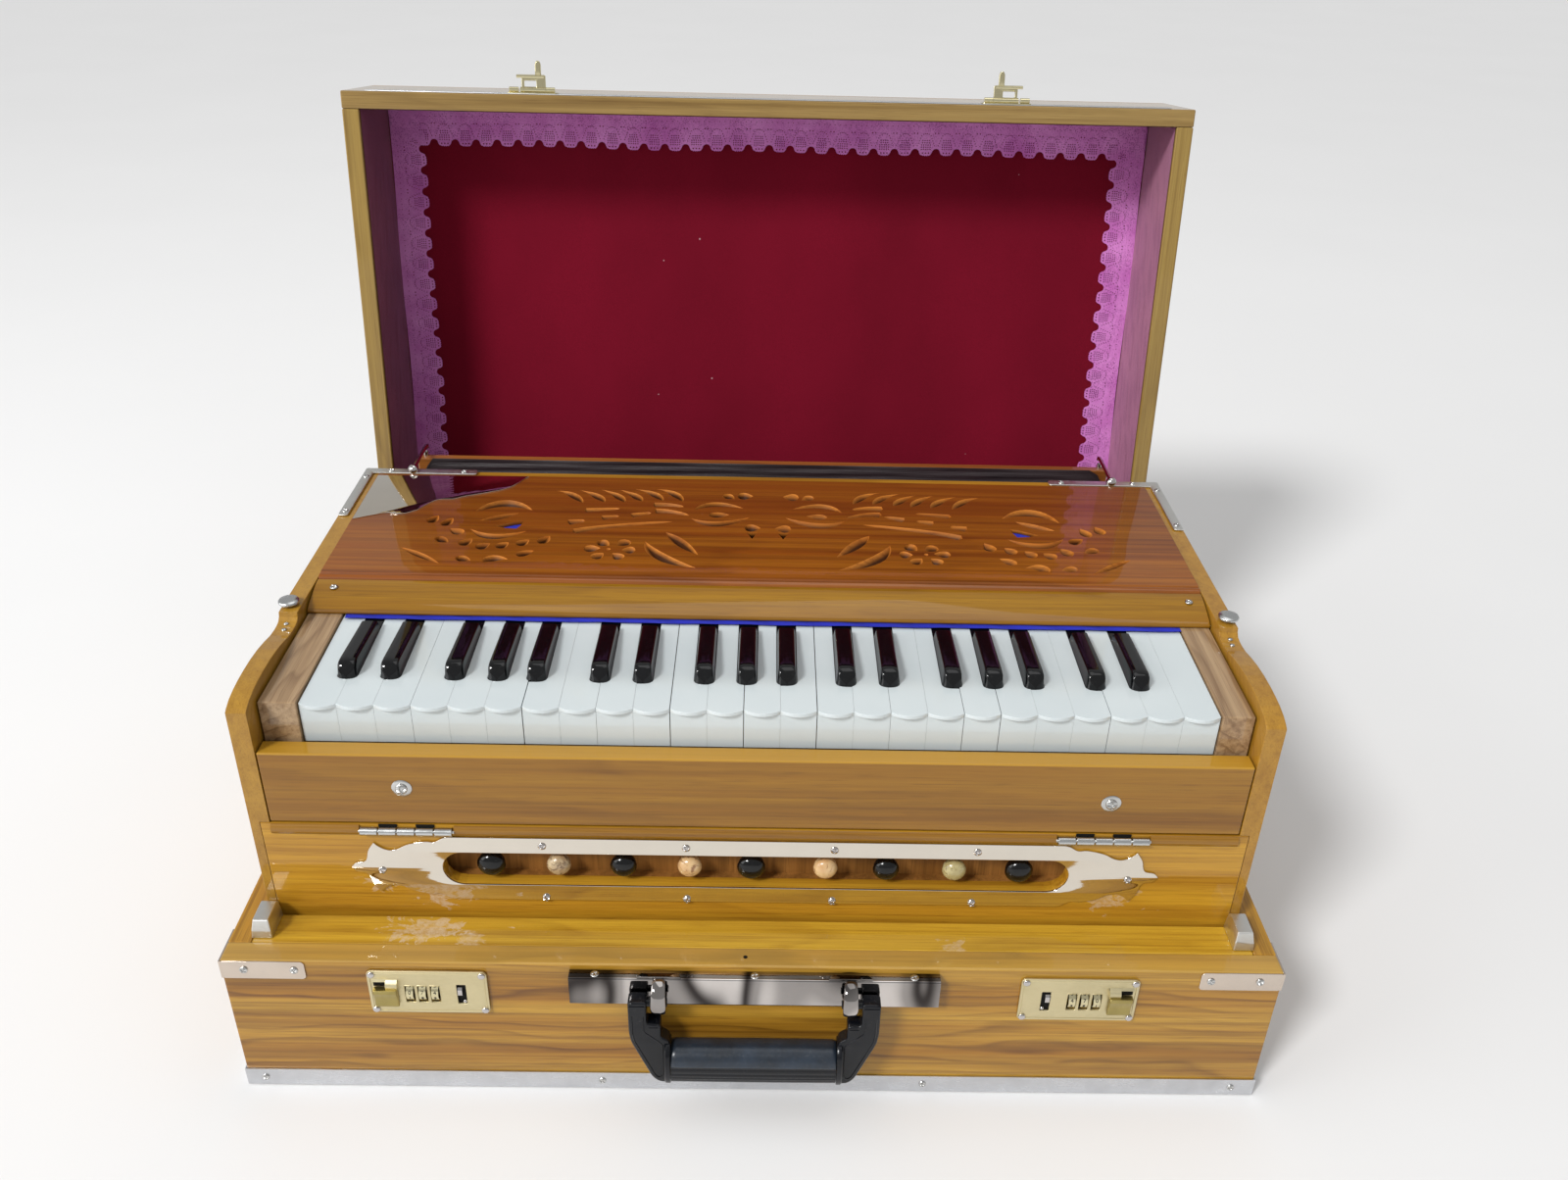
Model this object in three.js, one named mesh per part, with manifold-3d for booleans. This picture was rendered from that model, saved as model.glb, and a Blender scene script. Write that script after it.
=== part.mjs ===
// Portable folding hand-pumped reed organ (harmonium) in its own suitcase.
// Millimetres, +Z up, +X to the player's right, +Y away from the player.
// While it is built, y is counted from the outer face of the base's front board;
// the whole group is then moved so that the origin is the centre of the base's underside.
import * as THREE from "three";
import { mergeVertices } from "three/addons/utils/BufferGeometryUtils.js";
import Module from "manifold-3d";

// ---------------------------------------------------------------- driving dimensions
const W = 640; // case width
const D = 413; // case depth
const H = 108; // rim height of the base
const GAP = 0.3; // clearance between neighbouring pieces
const FRONT_T = 14.5; // front board
const REAR_T = 12; // rear board
const SIDE_T = 14; // side boards
const FLOOR_T = 8; // floor panel
const LEDGE_T = 12; // fixed ledge behind the front board
const LEDGE_Y = 38.5; // rear edge of the ledge
const STRIP_H = 14; // metal strip around the foot of the base
const LID_WALL = 12.7; // lid boards
const LID_IN = 80; // inner depth of the lid
const LID_TOP = 8; // lid panel
const RIM_GAP = 1.4; // between the rims when the lid is shut, filled by the hinge leaves
const HINGE_Y = D + 1.8;
const HINGE_Z = H + 0.8;
const OPEN_DEG = 97.3; // how far the lid stands open

const FACE_Y = 42; // front plane of the instrument
const CHEEK_OUT = 303.4; // outer face of the cheeks
const CHEEK_IN = 291.6; // inner face of the cheeks
const BODY_Z = 97; // underside of the raised instrument
const CHEEK_TOP = 265.5;
const BODY_REAR = 351; // rear face of the rear board
const COVER_Z = 267.8;
const COVER_Y0 = 183.2;
const COVER_Y1 = 339.2;
const SLOT_Z = 145.5; // middle of the stop slot
const SLOT_HALF = 12.6;
const SLOT_X = 191.5;
const FLAP_Z0 = 179.6;
const FLAP_Z1 = 230.3;
const FLAP_T = 12.5;
const FLAP_AXIS = [40.2, 174.8]; // y and z of the flap's hinge line

const PITCH = 21.54; // white key pitch, 25 white keys
const KEY_X0 = -267.7; // left end of the keyboard
const WHITE_TOP = 254.5;
const BLACK_TOP = 264;
const KEY_FRONT = 55;
const KEY_HINGE_Y = 180;
const KEY_HINGE_Z = 248;
// centres of the 17 sharps: hand-set, so no two octaves are quite alike
const SHARP_X = [-247.1, -221.4, -183.2, -157.4, -134.0, -96.2, -70.4, -33.5, -7.9, 16.2, 51.9, 78.1, 116, 140.9, 165.7, 202.9, 229.6];
const STOP_X = [-163, -121.6, -82, -41.3, -3.5, 42.2, 79.6, 121.8, 161.8];

const BELLOWS_X = 272;
const BELLOWS_Y0 = 380.5;
const BELLOWS_Y1 = 388;
const BELLOWS_Z0 = 125;
const BELLOWS_Z1 = 262;

const LOCK_X = 197.5; // middle of a lock plate
const HANDLE_Y = -13.4;
const HANDLE_Z = 91;
const CHANNEL_Y = -7.5; // front face of the handle channel

// ---------------------------------------------------------------- solids
const wasm = await Module();
wasm.setup();

function solid(geometry) {
  let g = geometry.index ? geometry.toNonIndexed() : geometry.clone();
  g.deleteAttribute("normal");
  g.deleteAttribute("uv");
  g = mergeVertices(g, 1e-4);
  return new wasm.Manifold(
    new wasm.Mesh({
      numProp: 3,
      vertProperties: new Float32Array(g.attributes.position.array),
      triVerts: new Uint32Array(g.index.array),
    }),
  );
}
function geometryOf(made) {
  const m = made.getMesh();
  const n = m.numProp;
  const v = new Float32Array(m.numVert * 3);
  for (let i = 0; i < m.numVert; i++)
    v.set(m.vertProperties.subarray(i * n, i * n + 3), i * 3);
  const g = new THREE.BufferGeometry();
  g.setAttribute("position", new THREE.BufferAttribute(v, 3));
  g.setIndex(new THREE.BufferAttribute(new Uint32Array(m.triVerts), 1));
  g.computeVertexNormals();
  return g;
}
const join = (...list) =>
  geometryOf(list.map(solid).reduce((a, b) => a.add(b)));
const cut = (from, ...list) =>
  geometryOf(list.map(solid).reduce((a, b) => a.subtract(b), solid(from)));
const meet = (a, b) => geometryOf(solid(a).intersect(solid(b)));

function box(x0, x1, y0, y1, z0, z1) {
  return new THREE.BoxGeometry(x1 - x0, y1 - y0, z1 - z0).translate(
    (x0 + x1) / 2,
    (y0 + y1) / 2,
    (z0 + z1) / 2,
  );
}
// A closed outline given as [y, z] pairs, drawn out along X.
function profileX(points, x0, x1) {
  const shape = new THREE.Shape(points.map(([y, z]) => new THREE.Vector2(y, z)));
  const g = new THREE.ExtrudeGeometry(shape, {
    depth: x1 - x0,
    bevelEnabled: false,
  });
  // shape x -> +Y, shape y -> +Z, depth -> +X
  g.applyMatrix4(
    new THREE.Matrix4().set(0, 0, 1, x0, 1, 0, 0, 0, 0, 1, 0, 0, 0, 0, 0, 1),
  );
  return g;
}
// A closed outline given as [x, z] pairs, drawn out along Y.
function profileY(points, y0, y1, holes = []) {
  const shape = new THREE.Shape(points.map(([x, z]) => new THREE.Vector2(x, z)));
  for (const h of holes)
    shape.holes.push(new THREE.Path(h.map(([x, z]) => new THREE.Vector2(x, z))));
  const g = new THREE.ExtrudeGeometry(shape, {
    depth: y1 - y0,
    bevelEnabled: false,
  });
  // shape x -> +X, shape y -> +Z, depth -> -Y, so it starts at y1
  g.applyMatrix4(
    new THREE.Matrix4().set(1, 0, 0, 0, 0, 0, -1, y1, 0, 1, 0, 0, 0, 0, 0, 1),
  );
  return g;
}
// A closed outline given as [x, y] pairs, drawn out along Z.
function profileZ(points, z0, z1) {
  const shape = new THREE.Shape(points.map(([x, y]) => new THREE.Vector2(x, y)));
  return new THREE.ExtrudeGeometry(shape, {
    depth: z1 - z0,
    bevelEnabled: false,
  }).translate(0, 0, z0);
}
function rod(axis, c, r, a, b, sides = 16) {
  const g = new THREE.CylinderGeometry(r, r, b - a, sides);
  const m = (a + b) / 2;
  if (axis === "x") return g.rotateZ(-Math.PI / 2).translate(m, c[0], c[1]);
  if (axis === "z") return g.rotateX(Math.PI / 2).translate(c[0], c[1], m);
  return g.translate(c[0], m, c[1]);
}
// A round body turned about an axis along Y: pairs of [radius, y].
function turnedY(pairs, x, z, sides = 20) {
  const g = new THREE.LatheGeometry(
    pairs.map(([r, y]) => new THREE.Vector2(r, y)),
    sides,
  );
  return g.translate(x, 0, z);
}
function stadium(half, xEnd, zMid, steps = 8) {
  const pts = [];
  for (let i = 0; i <= steps; i++) {
    const a = -Math.PI / 2 + (Math.PI * i) / steps;
    pts.push([xEnd - half + half * Math.cos(a), zMid + half * Math.sin(a)]);
  }
  for (let i = 0; i <= steps; i++) {
    const a = Math.PI / 2 + (Math.PI * i) / steps;
    pts.push([-xEnd + half + half * Math.cos(a), zMid + half * Math.sin(a)]);
  }
  return pts;
}

// ---------------------------------------------------------------- materials
const mat = (color, roughness, metalness) =>
  new THREE.MeshStandardMaterial({ color, roughness, metalness });
const TEAK = mat(0xb0762a, 0.35, 0);
const TEAK_DARK = mat(0x8a5a2c, 0.45, 0);
const INNER = mat(0xc79a5c, 0.7, 0);
const CHROME = mat(0xd8dadd, 0.15, 1);
const BRASS = mat(0xc9a84e, 0.3, 1);
const BLACK = mat(0x15161a, 0.5, 0);
const IVORY = mat(0xe8eef0, 0.2, 0);
const SHARP = mat(0x101114, 0.15, 0);
const CLOTH = mat(0x241a22, 0.6, 0);
const BONE = mat(0xd6c39b, 0.35, 0);

const object = new THREE.Group();
const caseBase = new THREE.Group();
const lid = new THREE.Group();
const lidInner = new THREE.Group();
const instrument = new THREE.Group();
object.add(caseBase, lid, instrument);
// The lid's pieces are given as they lie when it is shut, then swung open about its hinge.
lid.position.set(0, HINGE_Y, HINGE_Z);
lid.rotation.x = -THREE.MathUtils.degToRad(OPEN_DEG);
lidInner.position.set(0, -HINGE_Y, -HINGE_Z);
lid.add(lidInner);

function add(group, name, geometry, material) {
  const m = new THREE.Mesh(geometry, material);
  m.name = name;
  group.add(m);
  return m;
}

// ---------------------------------------------------------------- base of the case
const INX = W / 2 - SIDE_T;
add(caseBase, "base_floor", box(-INX + GAP, INX - GAP, FRONT_T + GAP, D - REAR_T - GAP, 0, FLOOR_T), TEAK_DARK);
add(
  caseBase,
  "base_front_wall",
  cut(
    box(-W / 2, W / 2, 0, FRONT_T, 0, H),
    // pockets behind the two locks
    box(-LOCK_X - 16, -LOCK_X + 16, -1, 11.5, 74, 92),
    box(LOCK_X - 16, LOCK_X + 16, -1, 11.5, 74, 92),
  ),
  TEAK,
);
add(caseBase, "base_rear_wall", box(-W / 2, W / 2, D - REAR_T, D, 0, H), TEAK);
add(caseBase, "base_left_wall", box(-W / 2, -INX, FRONT_T + GAP, D - REAR_T - GAP, 0, H), TEAK);
add(caseBase, "base_right_wall", box(INX, W / 2, FRONT_T + GAP, D - REAR_T - GAP, 0, H), TEAK);
add(caseBase, "base_ledge", box(-INX + GAP, INX - GAP, FRONT_T + GAP, LEDGE_Y, H - LEDGE_T, H), TEAK);
{
  const o = W / 2 + 1.1;
  const i = W / 2 + GAP;
  add(
    caseBase,
    "base_trim_strip",
    profileZ([[-o, -1.1], [o, -1.1], [o, D - 1], [i, D - 1], [i, -GAP], [-i, -GAP], [-i, D - 1], [-o, D - 1]], 0.3, STRIP_H),
    CHROME,
  );
}

// Locks: a brass plate with three dial windows and a slot for the hasp, the dials on their axle, and a sliding button.
for (const [side, s] of [["left", -1], ["right", 1]]) {
  const X = (a, b) => (s < 0 ? [-b, -a] : [a, b]); // a..b measured outwards
  const span = (a, b, ...r) => box(...X(a, b), ...r);
  const wheels = [193.6, 201.2, 208.8].map((x) => [x - 2.2, x + 2.2]);
  add(
    caseBase,
    "lock_plate_" + side,
    cut(
      span(161.5, 233.5, -2.1, -GAP, 67.5, 102),
      ...wheels.map(([a, b]) => span(a - 0.6, b + 0.6, -3, 1, 76.4, 90)),
      span(174.8, 180.6, -3, 1, 75.4, 91.2),
    ),
    BRASS,
  );
  add(
    caseBase,
    "lock_dials_" + side,
    join(
      rod("x", [3.6, 83.2], 1.6, ...X(190.5, 212), 8),
      ...wheels.map(([a, b]) => rod("x", [3.6, 83.2], 7.2, ...X(a, b), 20)),
    ),
    BRASS,
  );
  add(
    caseBase,
    "lock_button_" + side,
    profileZ(
      [[-7.2, -2.5], [-7.2, -6.2], [-5.6, -7.6], [5.6, -7.6], [7.2, -6.2], [7.2, -2.5]].map(([x, y]) => [s * 222.8 + x, y]).reverse(),
      74.6,
      90,
    ),
    BRASS,
  );
}

// Handle: chrome mounting channel with two bowed eyes, a plastic bail that hangs in them, and the grip sleeve.
{
  const bow = [[-6.4, 104], [-9, 103.9], [-12.6, 102.4], [-15.6, 99.6], [-17.6, 95.6], [-18.2, 91], [-17.6, 87.2], [-15.8, 83.8], [-12.8, 81], [-9.4, 79.7], [-6.4, 79.5]];
  const eye = (x) =>
    cut(profileX(bow.slice().reverse(), x - 4.8, x + 4.8), rod("x", [HANDLE_Y, HANDLE_Z], 3.2, x - 6, x + 6, 12));
  const c = CHANNEL_Y;
  add(
    caseBase,
    "handle_channel",
    join(
      profileX(
        [[-GAP, 104], [c + 0.7, 104], [c, 103.3], [c, 83.2], [c + 0.7, 82.5], [-GAP, 82.5], [-GAP, 83.9], [c + 1.4, 83.9], [c + 1.4, 102.6], [-GAP, 102.6]].reverse(),
        -111.5,
        111.5,
      ),
      eye(-57.5),
      eye(57.5),
    ),
    CHROME,
  );
  // seen from the side an arm is a straight bar with a half-round top about the pin
  const side = [[HANDLE_Y - 5, 20], [HANDLE_Y + 5, 20]];
  for (let i = 0; i <= 10; i++) {
    const a = (Math.PI * i) / 10;
    side.push([HANDLE_Y + 5 * Math.cos(a), HANDLE_Z + 5 * Math.sin(a)]);
  }
  const arm = (s) =>
    meet(
      profileY(
        [[75.6, 71], [75.6, 97], [64.4, 97], [64.4, 77.5], [56, 76.5], [56, 66], [51, 62.5], [51, 29], [53, 26.6], [58.5, 27.2], [62, 30.5], [74.2, 62]].map(([x, z]) => [s * x, z]),
        -20,
        -2,
      ),
      profileX(side, -80, 80),
    );
  const pin = (s) => rod("x", [HANDLE_Y, HANDLE_Z], 2.6, Math.min(s * 51.6, s * 66), Math.max(s * 51.6, s * 66), 12);
  add(
    caseBase,
    "handle_frame",
    join(arm(1), arm(-1), pin(1), pin(-1), rod("x", [HANDLE_Y, 46.5], 4.9, -55, 55, 12)),
    BLACK,
  );
  const r = [];
  for (let i = 0; i < 20; i++) {
    const a = (i / 20) * 2 * Math.PI;
    const k = Math.cos(a);
    const q = Math.sin(a);
    r.push([-14.8 + 10.6 * Math.sign(k) * Math.abs(k) ** 0.8, 43 + 14.6 * Math.sign(q) * Math.abs(q) ** 0.8]);
  }
  add(caseBase, "handle_grip", cut(profileX(r, -50.4, 50.4), rod("x", [HANDLE_Y, 46.5], 5.3, -60, 60, 12)), BLACK);
}

// Catches on the ledge that hold the raised instrument: a chrome thumb block with a tongue against the cheek.
for (const [side, s] of [["left", -1], ["right", 1]]) {
  add(
    caseBase,
    "body_catch_" + side,
    join(
      meet(
        profileX([[17.6, H + GAP], [18.2, 113.4], [20.4, 120.6], [37, 120.6], [38.8, 118.2], [38.8, H + GAP]].reverse(), -310, 310),
        profileY([[293.9, H], [306.6, H], [306.2, 113], [304.9, 121], [295.6, 121], [294.3, 113]].map(([x, z]) => [s * x, z]), 10, 45),
      ),
      box(Math.min(s * 296.5, s * 303), Math.max(s * 296.5, s * 303), 37, FACE_Y - GAP, 110.5, 116.5),
    ),
    CHROME,
  );
}

// Long hinge of the lid: two leaves with knuckles in turn.
{
  const n = 12;
  const x0 = -300;
  const step = 600 / n;
  const knuckles = (odd) => {
    const out = [];
    for (let i = odd; i < n; i += 2)
      out.push(rod("x", [HINGE_Y, HINGE_Z], 1.7, x0 + i * step + 0.2, x0 + (i + 1) * step - 0.2, 10));
    return out;
  };
  const baseLeaf = box(x0, -x0, D - 11.5, D + 0.45, H + 0.05, H + 0.55);
  const lidLeaf = box(x0, -x0, D - 11.5, D + 0.45, H + 0.85, H + 1.35);
  const tabs = (odd, z0, z1) => {
    const out = [];
    for (let i = odd; i < n; i += 2)
      out.push(box(x0 + i * step + 0.2, x0 + (i + 1) * step - 0.2, D - 1, HINGE_Y, z0, z1));
    return out;
  };
  add(caseBase, "lid_hinge_base_leaf", cut(join(box(x0, -x0, D - 11.5, D - 0.4, H + 0.05, H + 0.55), ...tabs(0, H + 0.05, H + 0.55), ...knuckles(0))), CHROME);
  add(lidInner, "lid_hinge_lid_leaf", cut(join(box(x0, -x0, D - 11.5, D - 0.4, H + 0.85, H + 1.35), ...tabs(1, H + 0.85, H + 1.35), ...knuckles(1))), CHROME);
}

// ---------------------------------------------------------------- lid
const RIM = H + RIM_GAP;
{
  const wx = W / 2;
  add(
    lidInner,
    "lid_frame",
    cut(
      box(-wx, wx, 0, D, RIM, RIM + LID_IN - GAP),
      box(-wx + LID_WALL, wx - LID_WALL, LID_WALL, D - LID_WALL, RIM - 5, RIM + LID_IN + 5),
    ),
    TEAK,
  );
  add(lidInner, "lid_panel", box(-wx, wx, 0, D, RIM + LID_IN, RIM + LID_IN + LID_TOP), TEAK);
  for (const [side, s] of [["left", -1], ["right", 1]]) {
    const x = s * 177.7;
    // hinged hasp: it stands straight out while the case is open, and folds down over the lock
    add(
      lidInner,
      "lid_hasp_" + side,
      join(
        rod("x", [-3.2, RIM + 4], 2, x - 17, x + 17, 10),
        box(Math.min(x + s * 7.6, x - s * 10.3), Math.max(x + s * 7.6, x - s * 10.3), -13.6, -3.2, RIM + 3.2, RIM + 4.8),
        box(Math.min(x - s * 2.8, x - s * 7.2), Math.max(x - s * 2.8, x - s * 7.2), -24, -12, RIM + 3.2, RIM + 4.8),
      ),
      BRASS,
    );
  }
}

// ---------------------------------------------------------------- instrument, raised
const cheekProfile = [
  [FACE_Y, BODY_Z],
  [BODY_REAR, BODY_Z],
  [BODY_REAR, CHEEK_TOP],
  [141, CHEEK_TOP],
  [140.2, 262.5],
  [138, 260.6],
  [134, 259.8],
  [129, 259.7],
  [122, 260.2],
  [112, 262.2],
  [100, 264],
  [88, 264.9],
  [76, 265],
  [66, 264.6],
  [58, 263.8],
  [50, 262.2],
  [44.5, 260],
  [FACE_Y, 258.4],
];
// The stop panel laps over the inner half of the cheeks' front edges, so a rebate is cut there.
const LAP = 297.4;
for (const [side, s] of [["left", -1], ["right", 1]]) {
  const a = s * (CHEEK_IN - 2);
  const b = s * (LAP + GAP);
  add(
    instrument,
    "cheek_" + side,
    cut(
      profileX(cheekProfile, Math.min(s * CHEEK_IN, s * CHEEK_OUT), Math.max(s * CHEEK_IN, s * CHEEK_OUT)),
      box(Math.min(a, b), Math.max(a, b), FACE_Y - 2, FACE_Y + 8 + GAP, BODY_Z - 2, FLAP_Z0 - 1 + GAP),
    ),
    TEAK,
  );
}
const BX = CHEEK_IN - GAP; // pieces housed between the cheeks

add(
  instrument,
  "stop_panel",
  profileY(
    [[-LAP, BODY_Z], [LAP, BODY_Z], [LAP, FLAP_Z0 - 1], [-LAP, FLAP_Z0 - 1]],
    FACE_Y,
    FACE_Y + 8,
    [stadium(SLOT_HALF, SLOT_X, SLOT_Z).reverse()],
  ),
  TEAK,
);
// Polished plate around the stop slot, its ends cut like fish tails.
{
  const half = [
    [0, 24.6], [186.5, 24.6], [190, 23.6], [195, 20.6], [201, 20.9], [211, 18.4], [218, 14.6], [223.5, 14], [228.6, 16.6],
    [231.4, 19.6], [235.4, 13.2], [237.8, 5.2], [244, 3.4], [247, 0],
  ];
  const right = half.slice(1).map(([x, z]) => [x, z]);
  const outline = [
    ...right.slice().reverse().map(([x, z]) => [x, -z]).reverse(),
    ...right.slice(0, -1).reverse(),
  ];
  const rightSide = outline.map(([x, z]) => [x, SLOT_Z + z]);
  // rightSide runs from bottom (x 186.5) out to the tip and back along the top
  const all = [...rightSide, ...rightSide.map(([x, z]) => [-x, z]).reverse()];
  add(
    instrument,
    "stop_plate",
    profileY(all, FACE_Y - 1.3, FACE_Y - GAP, [stadium(SLOT_HALF + 0.1, SLOT_X + 0.1, SLOT_Z).reverse()]),
    CHROME,
  );
}
STOP_X.forEach((x, i) => {
  add(
    instrument,
    "stop_knob_" + (i + 1),
    turnedY(
      [[0, 41.2], [4.6, 41.5], [7.2, 43], [8.3, 45.6], [7.6, 48.4], [5.2, 50.2], [3.4, 51.6], [3.1, 54], [3.1, 100], [0, 100]],
      x,
      SLOT_Z,
      16,
    ),
    i % 2 ? BONE : BLACK,
  );
});
add(instrument, "front_flap", box(-BX, BX, FACE_Y, FACE_Y + FLAP_T, FLAP_Z0, FLAP_Z1), TEAK);

// Air chest: an open-topped box with guide holes for the nine stop rods; the reed board closes it.
add(
  instrument,
  "wind_chest",
  cut(
    join(
      box(-BX + 0.5, BX - 0.5, 56, COVER_Y1, BODY_Z + 0.5, 165),
      box(-BX + 0.5, BX - 0.5, FACE_Y + 8 + GAP, 57, 120, SLOT_Z - SLOT_HALF - 0.3),
    ),
    box(-BX + 9, BX - 9, 64, COVER_Y1 - 9, BODY_Z + 9, 170),
    ...STOP_X.map((x) => rod("y", [x, SLOT_Z], 3.5, 54, 75, 12)),
  ),
  INNER,
);
{
  // two rows of brass reeds under the board, one pair for each note
  const reeds = [];
  for (let i = 0; i < 21; i++) {
    const x = -252 + i * 25.2;
    const l = 62 - i * 1.6;
    reeds.push(box(x - 4.6, x + 4.6, 110, 110 + l, 163, 166.5));
    reeds.push(box(x - 4.6, x + 4.6, 214, 214 + l, 163, 166.5));
  }
  add(instrument, "reed_board", join(box(-BX + 10, BX - 10, 71, COVER_Y1 - 10, 165.6, 176), ...reeds), INNER);
}
// Key bed with two lines of pallet holes, closed by the pallets under the keys.
{
  const holes = [];
  for (let i = 0; i < 42; i++) holes.push(box(-255 + i * 12.4, -249.6 + i * 12.4, 96, 128, 200, 220));
  add(instrument, "key_bed", cut(box(-BX, BX, 62, COVER_Y1, 204, 215), ...holes), INNER);
}
add(instrument, "key_block_left", box(-290.6, -268.4, 56.5, 188, 215.4, 256.2), TEAK_DARK);
add(instrument, "key_block_right", box(271.5, 290.6, 56.5, 188, 215.4, 256.2), TEAK_DARK);
add(
  instrument,
  "key_rail",
  profileX([[154.6, 256.6], [182.8, 256.6], [182.8, 265.9], [178.6, 265.6], [170, 263.9], [158, 260.2], [155.4, 258.8], [154.6, 257.6]], -BX + 0.5, BX - 0.5),
  TEAK,
);
add(
  instrument,
  "top_cover",
  profileX(
    [[COVER_Y0, 257.8], [COVER_Y1, 257.8], [COVER_Y1, COVER_Z], [COVER_Y0 + 5.6, COVER_Z], [COVER_Y0 + 4.6, 266.9], [COVER_Y0 + 3, 267.4], [COVER_Y0 + 1, 266.6], [COVER_Y0, 265.4]],
    -BX + 0.5,
    BX - 0.5,
  ),
  TEAK,
);
add(instrument, "rear_board", box(-BX, BX, COVER_Y1 + GAP, BODY_REAR, BODY_Z, CHEEK_TOP - GAP), TEAK);
for (const [side, s] of [["left", -1], ["right", 1]]) {
  const o = CHEEK_OUT - 0.4;
  add(
    instrument,
    "corner_brace_" + side,
    profileZ(
      [[o, BODY_REAR - 0.4], [o, 272], [o - 11, 272], [o - 11, BODY_REAR - 11], [218, BODY_REAR - 11], [218, BODY_REAR - 0.4]].map(([x, y]) => [s * x, y]),
      CHEEK_TOP + 0.2,
      CHEEK_TOP + 1.6,
    ),
    CHROME,
  );
}

// ---------------------------------------------------------------- bellows
{
  const pts = [];
  const n = 5;
  const y0 = BODY_REAR + GAP;
  const y1 = BELLOWS_Y0 - GAP;
  const step = (y1 - y0) / n;
  for (let i = 0; i < n; i++) {
    pts.push([y0 + i * step, 262], [y0 + (i + 0.5) * step, 256.5]);
  }
  pts.push([y1, 262], [y1, 129], [y0, 129]);
  add(instrument, "bellows_folds", profileX(pts.reverse(), -BELLOWS_X + 7, BELLOWS_X - 7), CLOTH);
}
add(instrument, "bellows_board", box(-BELLOWS_X, BELLOWS_X, BELLOWS_Y0, BELLOWS_Y1, BELLOWS_Z0, BELLOWS_Z1), TEAK);
for (const [side, s] of [["left", -1], ["right", 1]]) {
  const x = s * 266;
  add(
    instrument,
    "bellows_hook_" + side,
    join(
      turnedY([[0, -1.8], [2.6, -1.8], [4, 0], [3.6, 1.8], [1.6, 3.4], [0, 3.8]], 0, 0, 12).rotateX(Math.PI / 2).translate(x, 345.5, 269.2),
      rod("y", [x, 269.2], 1.5, 345, 391, 10),
      rod("z", [x, 345.5], 1.8, CHEEK_TOP + 1.9, 269, 10),
    ),
    CHROME,
  );
}

// ---------------------------------------------------------------- keys
// Keys are carried in banks of one octave: each bank's levers meet in a strip at the hinge line, under the rail.
function whiteBank(first, count) {
  const x0 = KEY_X0 + first * PITCH + 0.25;
  const x1 = KEY_X0 + (first + count) * PITCH - 0.25;
  const tools = [];
  for (const bx of SHARP_X)
    if (bx > x0 - 8 && bx < x1 + 8) tools.push(box(bx - 6.9, bx + 6.9, 83.5, 150.8, 225, 262));
  for (let i = 1; i < count; i++) {
    const x = KEY_X0 + (first + i) * PITCH;
    tools.push(box(x - 0.25, x + 0.25, 50, 150.8, 225, 262));
  }
  return cut(
    join(box(x0, x1, KEY_FRONT, 186, 246.5, WHITE_TOP), box(x0, x1, KEY_FRONT, 58.5, 231.5, 247)),
    ...tools,
  );
}
function blackBank(list) {
  const outline = [[84.5, 236], [186, 236], [186, 243.5], [142, 243.5], [142, BLACK_TOP - 4.4], [141, BLACK_TOP - 3.8], [90, BLACK_TOP], [88.4, 263], [84.5, 255.2]];
  return join(
    ...list.map((x) => profileX(outline, x - 6, x + 6)),
    box(list[0] - 6, list[list.length - 1] + 6, 172, 186, 236, 243.5),
  );
}
["octave_1", "octave_2", "octave_3", "top"].forEach((name, o) => {
  add(instrument, "white_keys_" + name, whiteBank(o * 7, o < 3 ? 7 : 4), IVORY);
  add(instrument, "black_keys_" + name, blackBank(SHARP_X.slice(o * 5, o * 5 + (o < 3 ? 5 : 2))), SHARP);
});

object.position.set(0, -D / 2, 0);
const root = new THREE.Group();
root.add(object);
export default root;
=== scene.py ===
import math
import random

import bpy
import bmesh
from mathutils import Matrix, Vector


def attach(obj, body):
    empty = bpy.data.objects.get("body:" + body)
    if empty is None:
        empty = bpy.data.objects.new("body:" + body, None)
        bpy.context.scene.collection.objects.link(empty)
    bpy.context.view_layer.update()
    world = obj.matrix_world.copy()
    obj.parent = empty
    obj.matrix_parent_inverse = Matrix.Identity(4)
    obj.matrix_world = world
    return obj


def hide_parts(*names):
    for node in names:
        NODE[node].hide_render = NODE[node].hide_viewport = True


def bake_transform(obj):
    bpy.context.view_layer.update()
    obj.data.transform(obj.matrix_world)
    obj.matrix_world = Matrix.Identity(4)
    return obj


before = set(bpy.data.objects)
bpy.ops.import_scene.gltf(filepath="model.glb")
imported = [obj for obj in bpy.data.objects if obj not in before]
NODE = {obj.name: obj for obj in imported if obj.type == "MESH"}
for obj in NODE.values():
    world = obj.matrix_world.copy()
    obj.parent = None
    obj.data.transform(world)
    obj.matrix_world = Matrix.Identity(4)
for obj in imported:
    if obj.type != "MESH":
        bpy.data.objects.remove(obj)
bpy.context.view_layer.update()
scene = bpy.context.scene
rnd = random.Random(7)

# ------------------------------------------------------------------ places
# Lengths below are millimetres: x from the middle, y from the outer face of the base's front board, z up.
MM = 0.001
LID_A = math.radians(97.3)
CA, SA = math.cos(LID_A), math.sin(LID_A)


def W(p):
    return (p[0] * MM, (p[1] - 206.5) * MM, p[2] * MM)


def WL(p):
    """A point given as it lies with the lid shut, moved to where it is with the lid open."""
    y, z = p[1] - 414.8, p[2] - 108.8
    return W((p[0], 414.8 + y * CA + z * SA, 108.8 - y * SA + z * CA))


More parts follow.
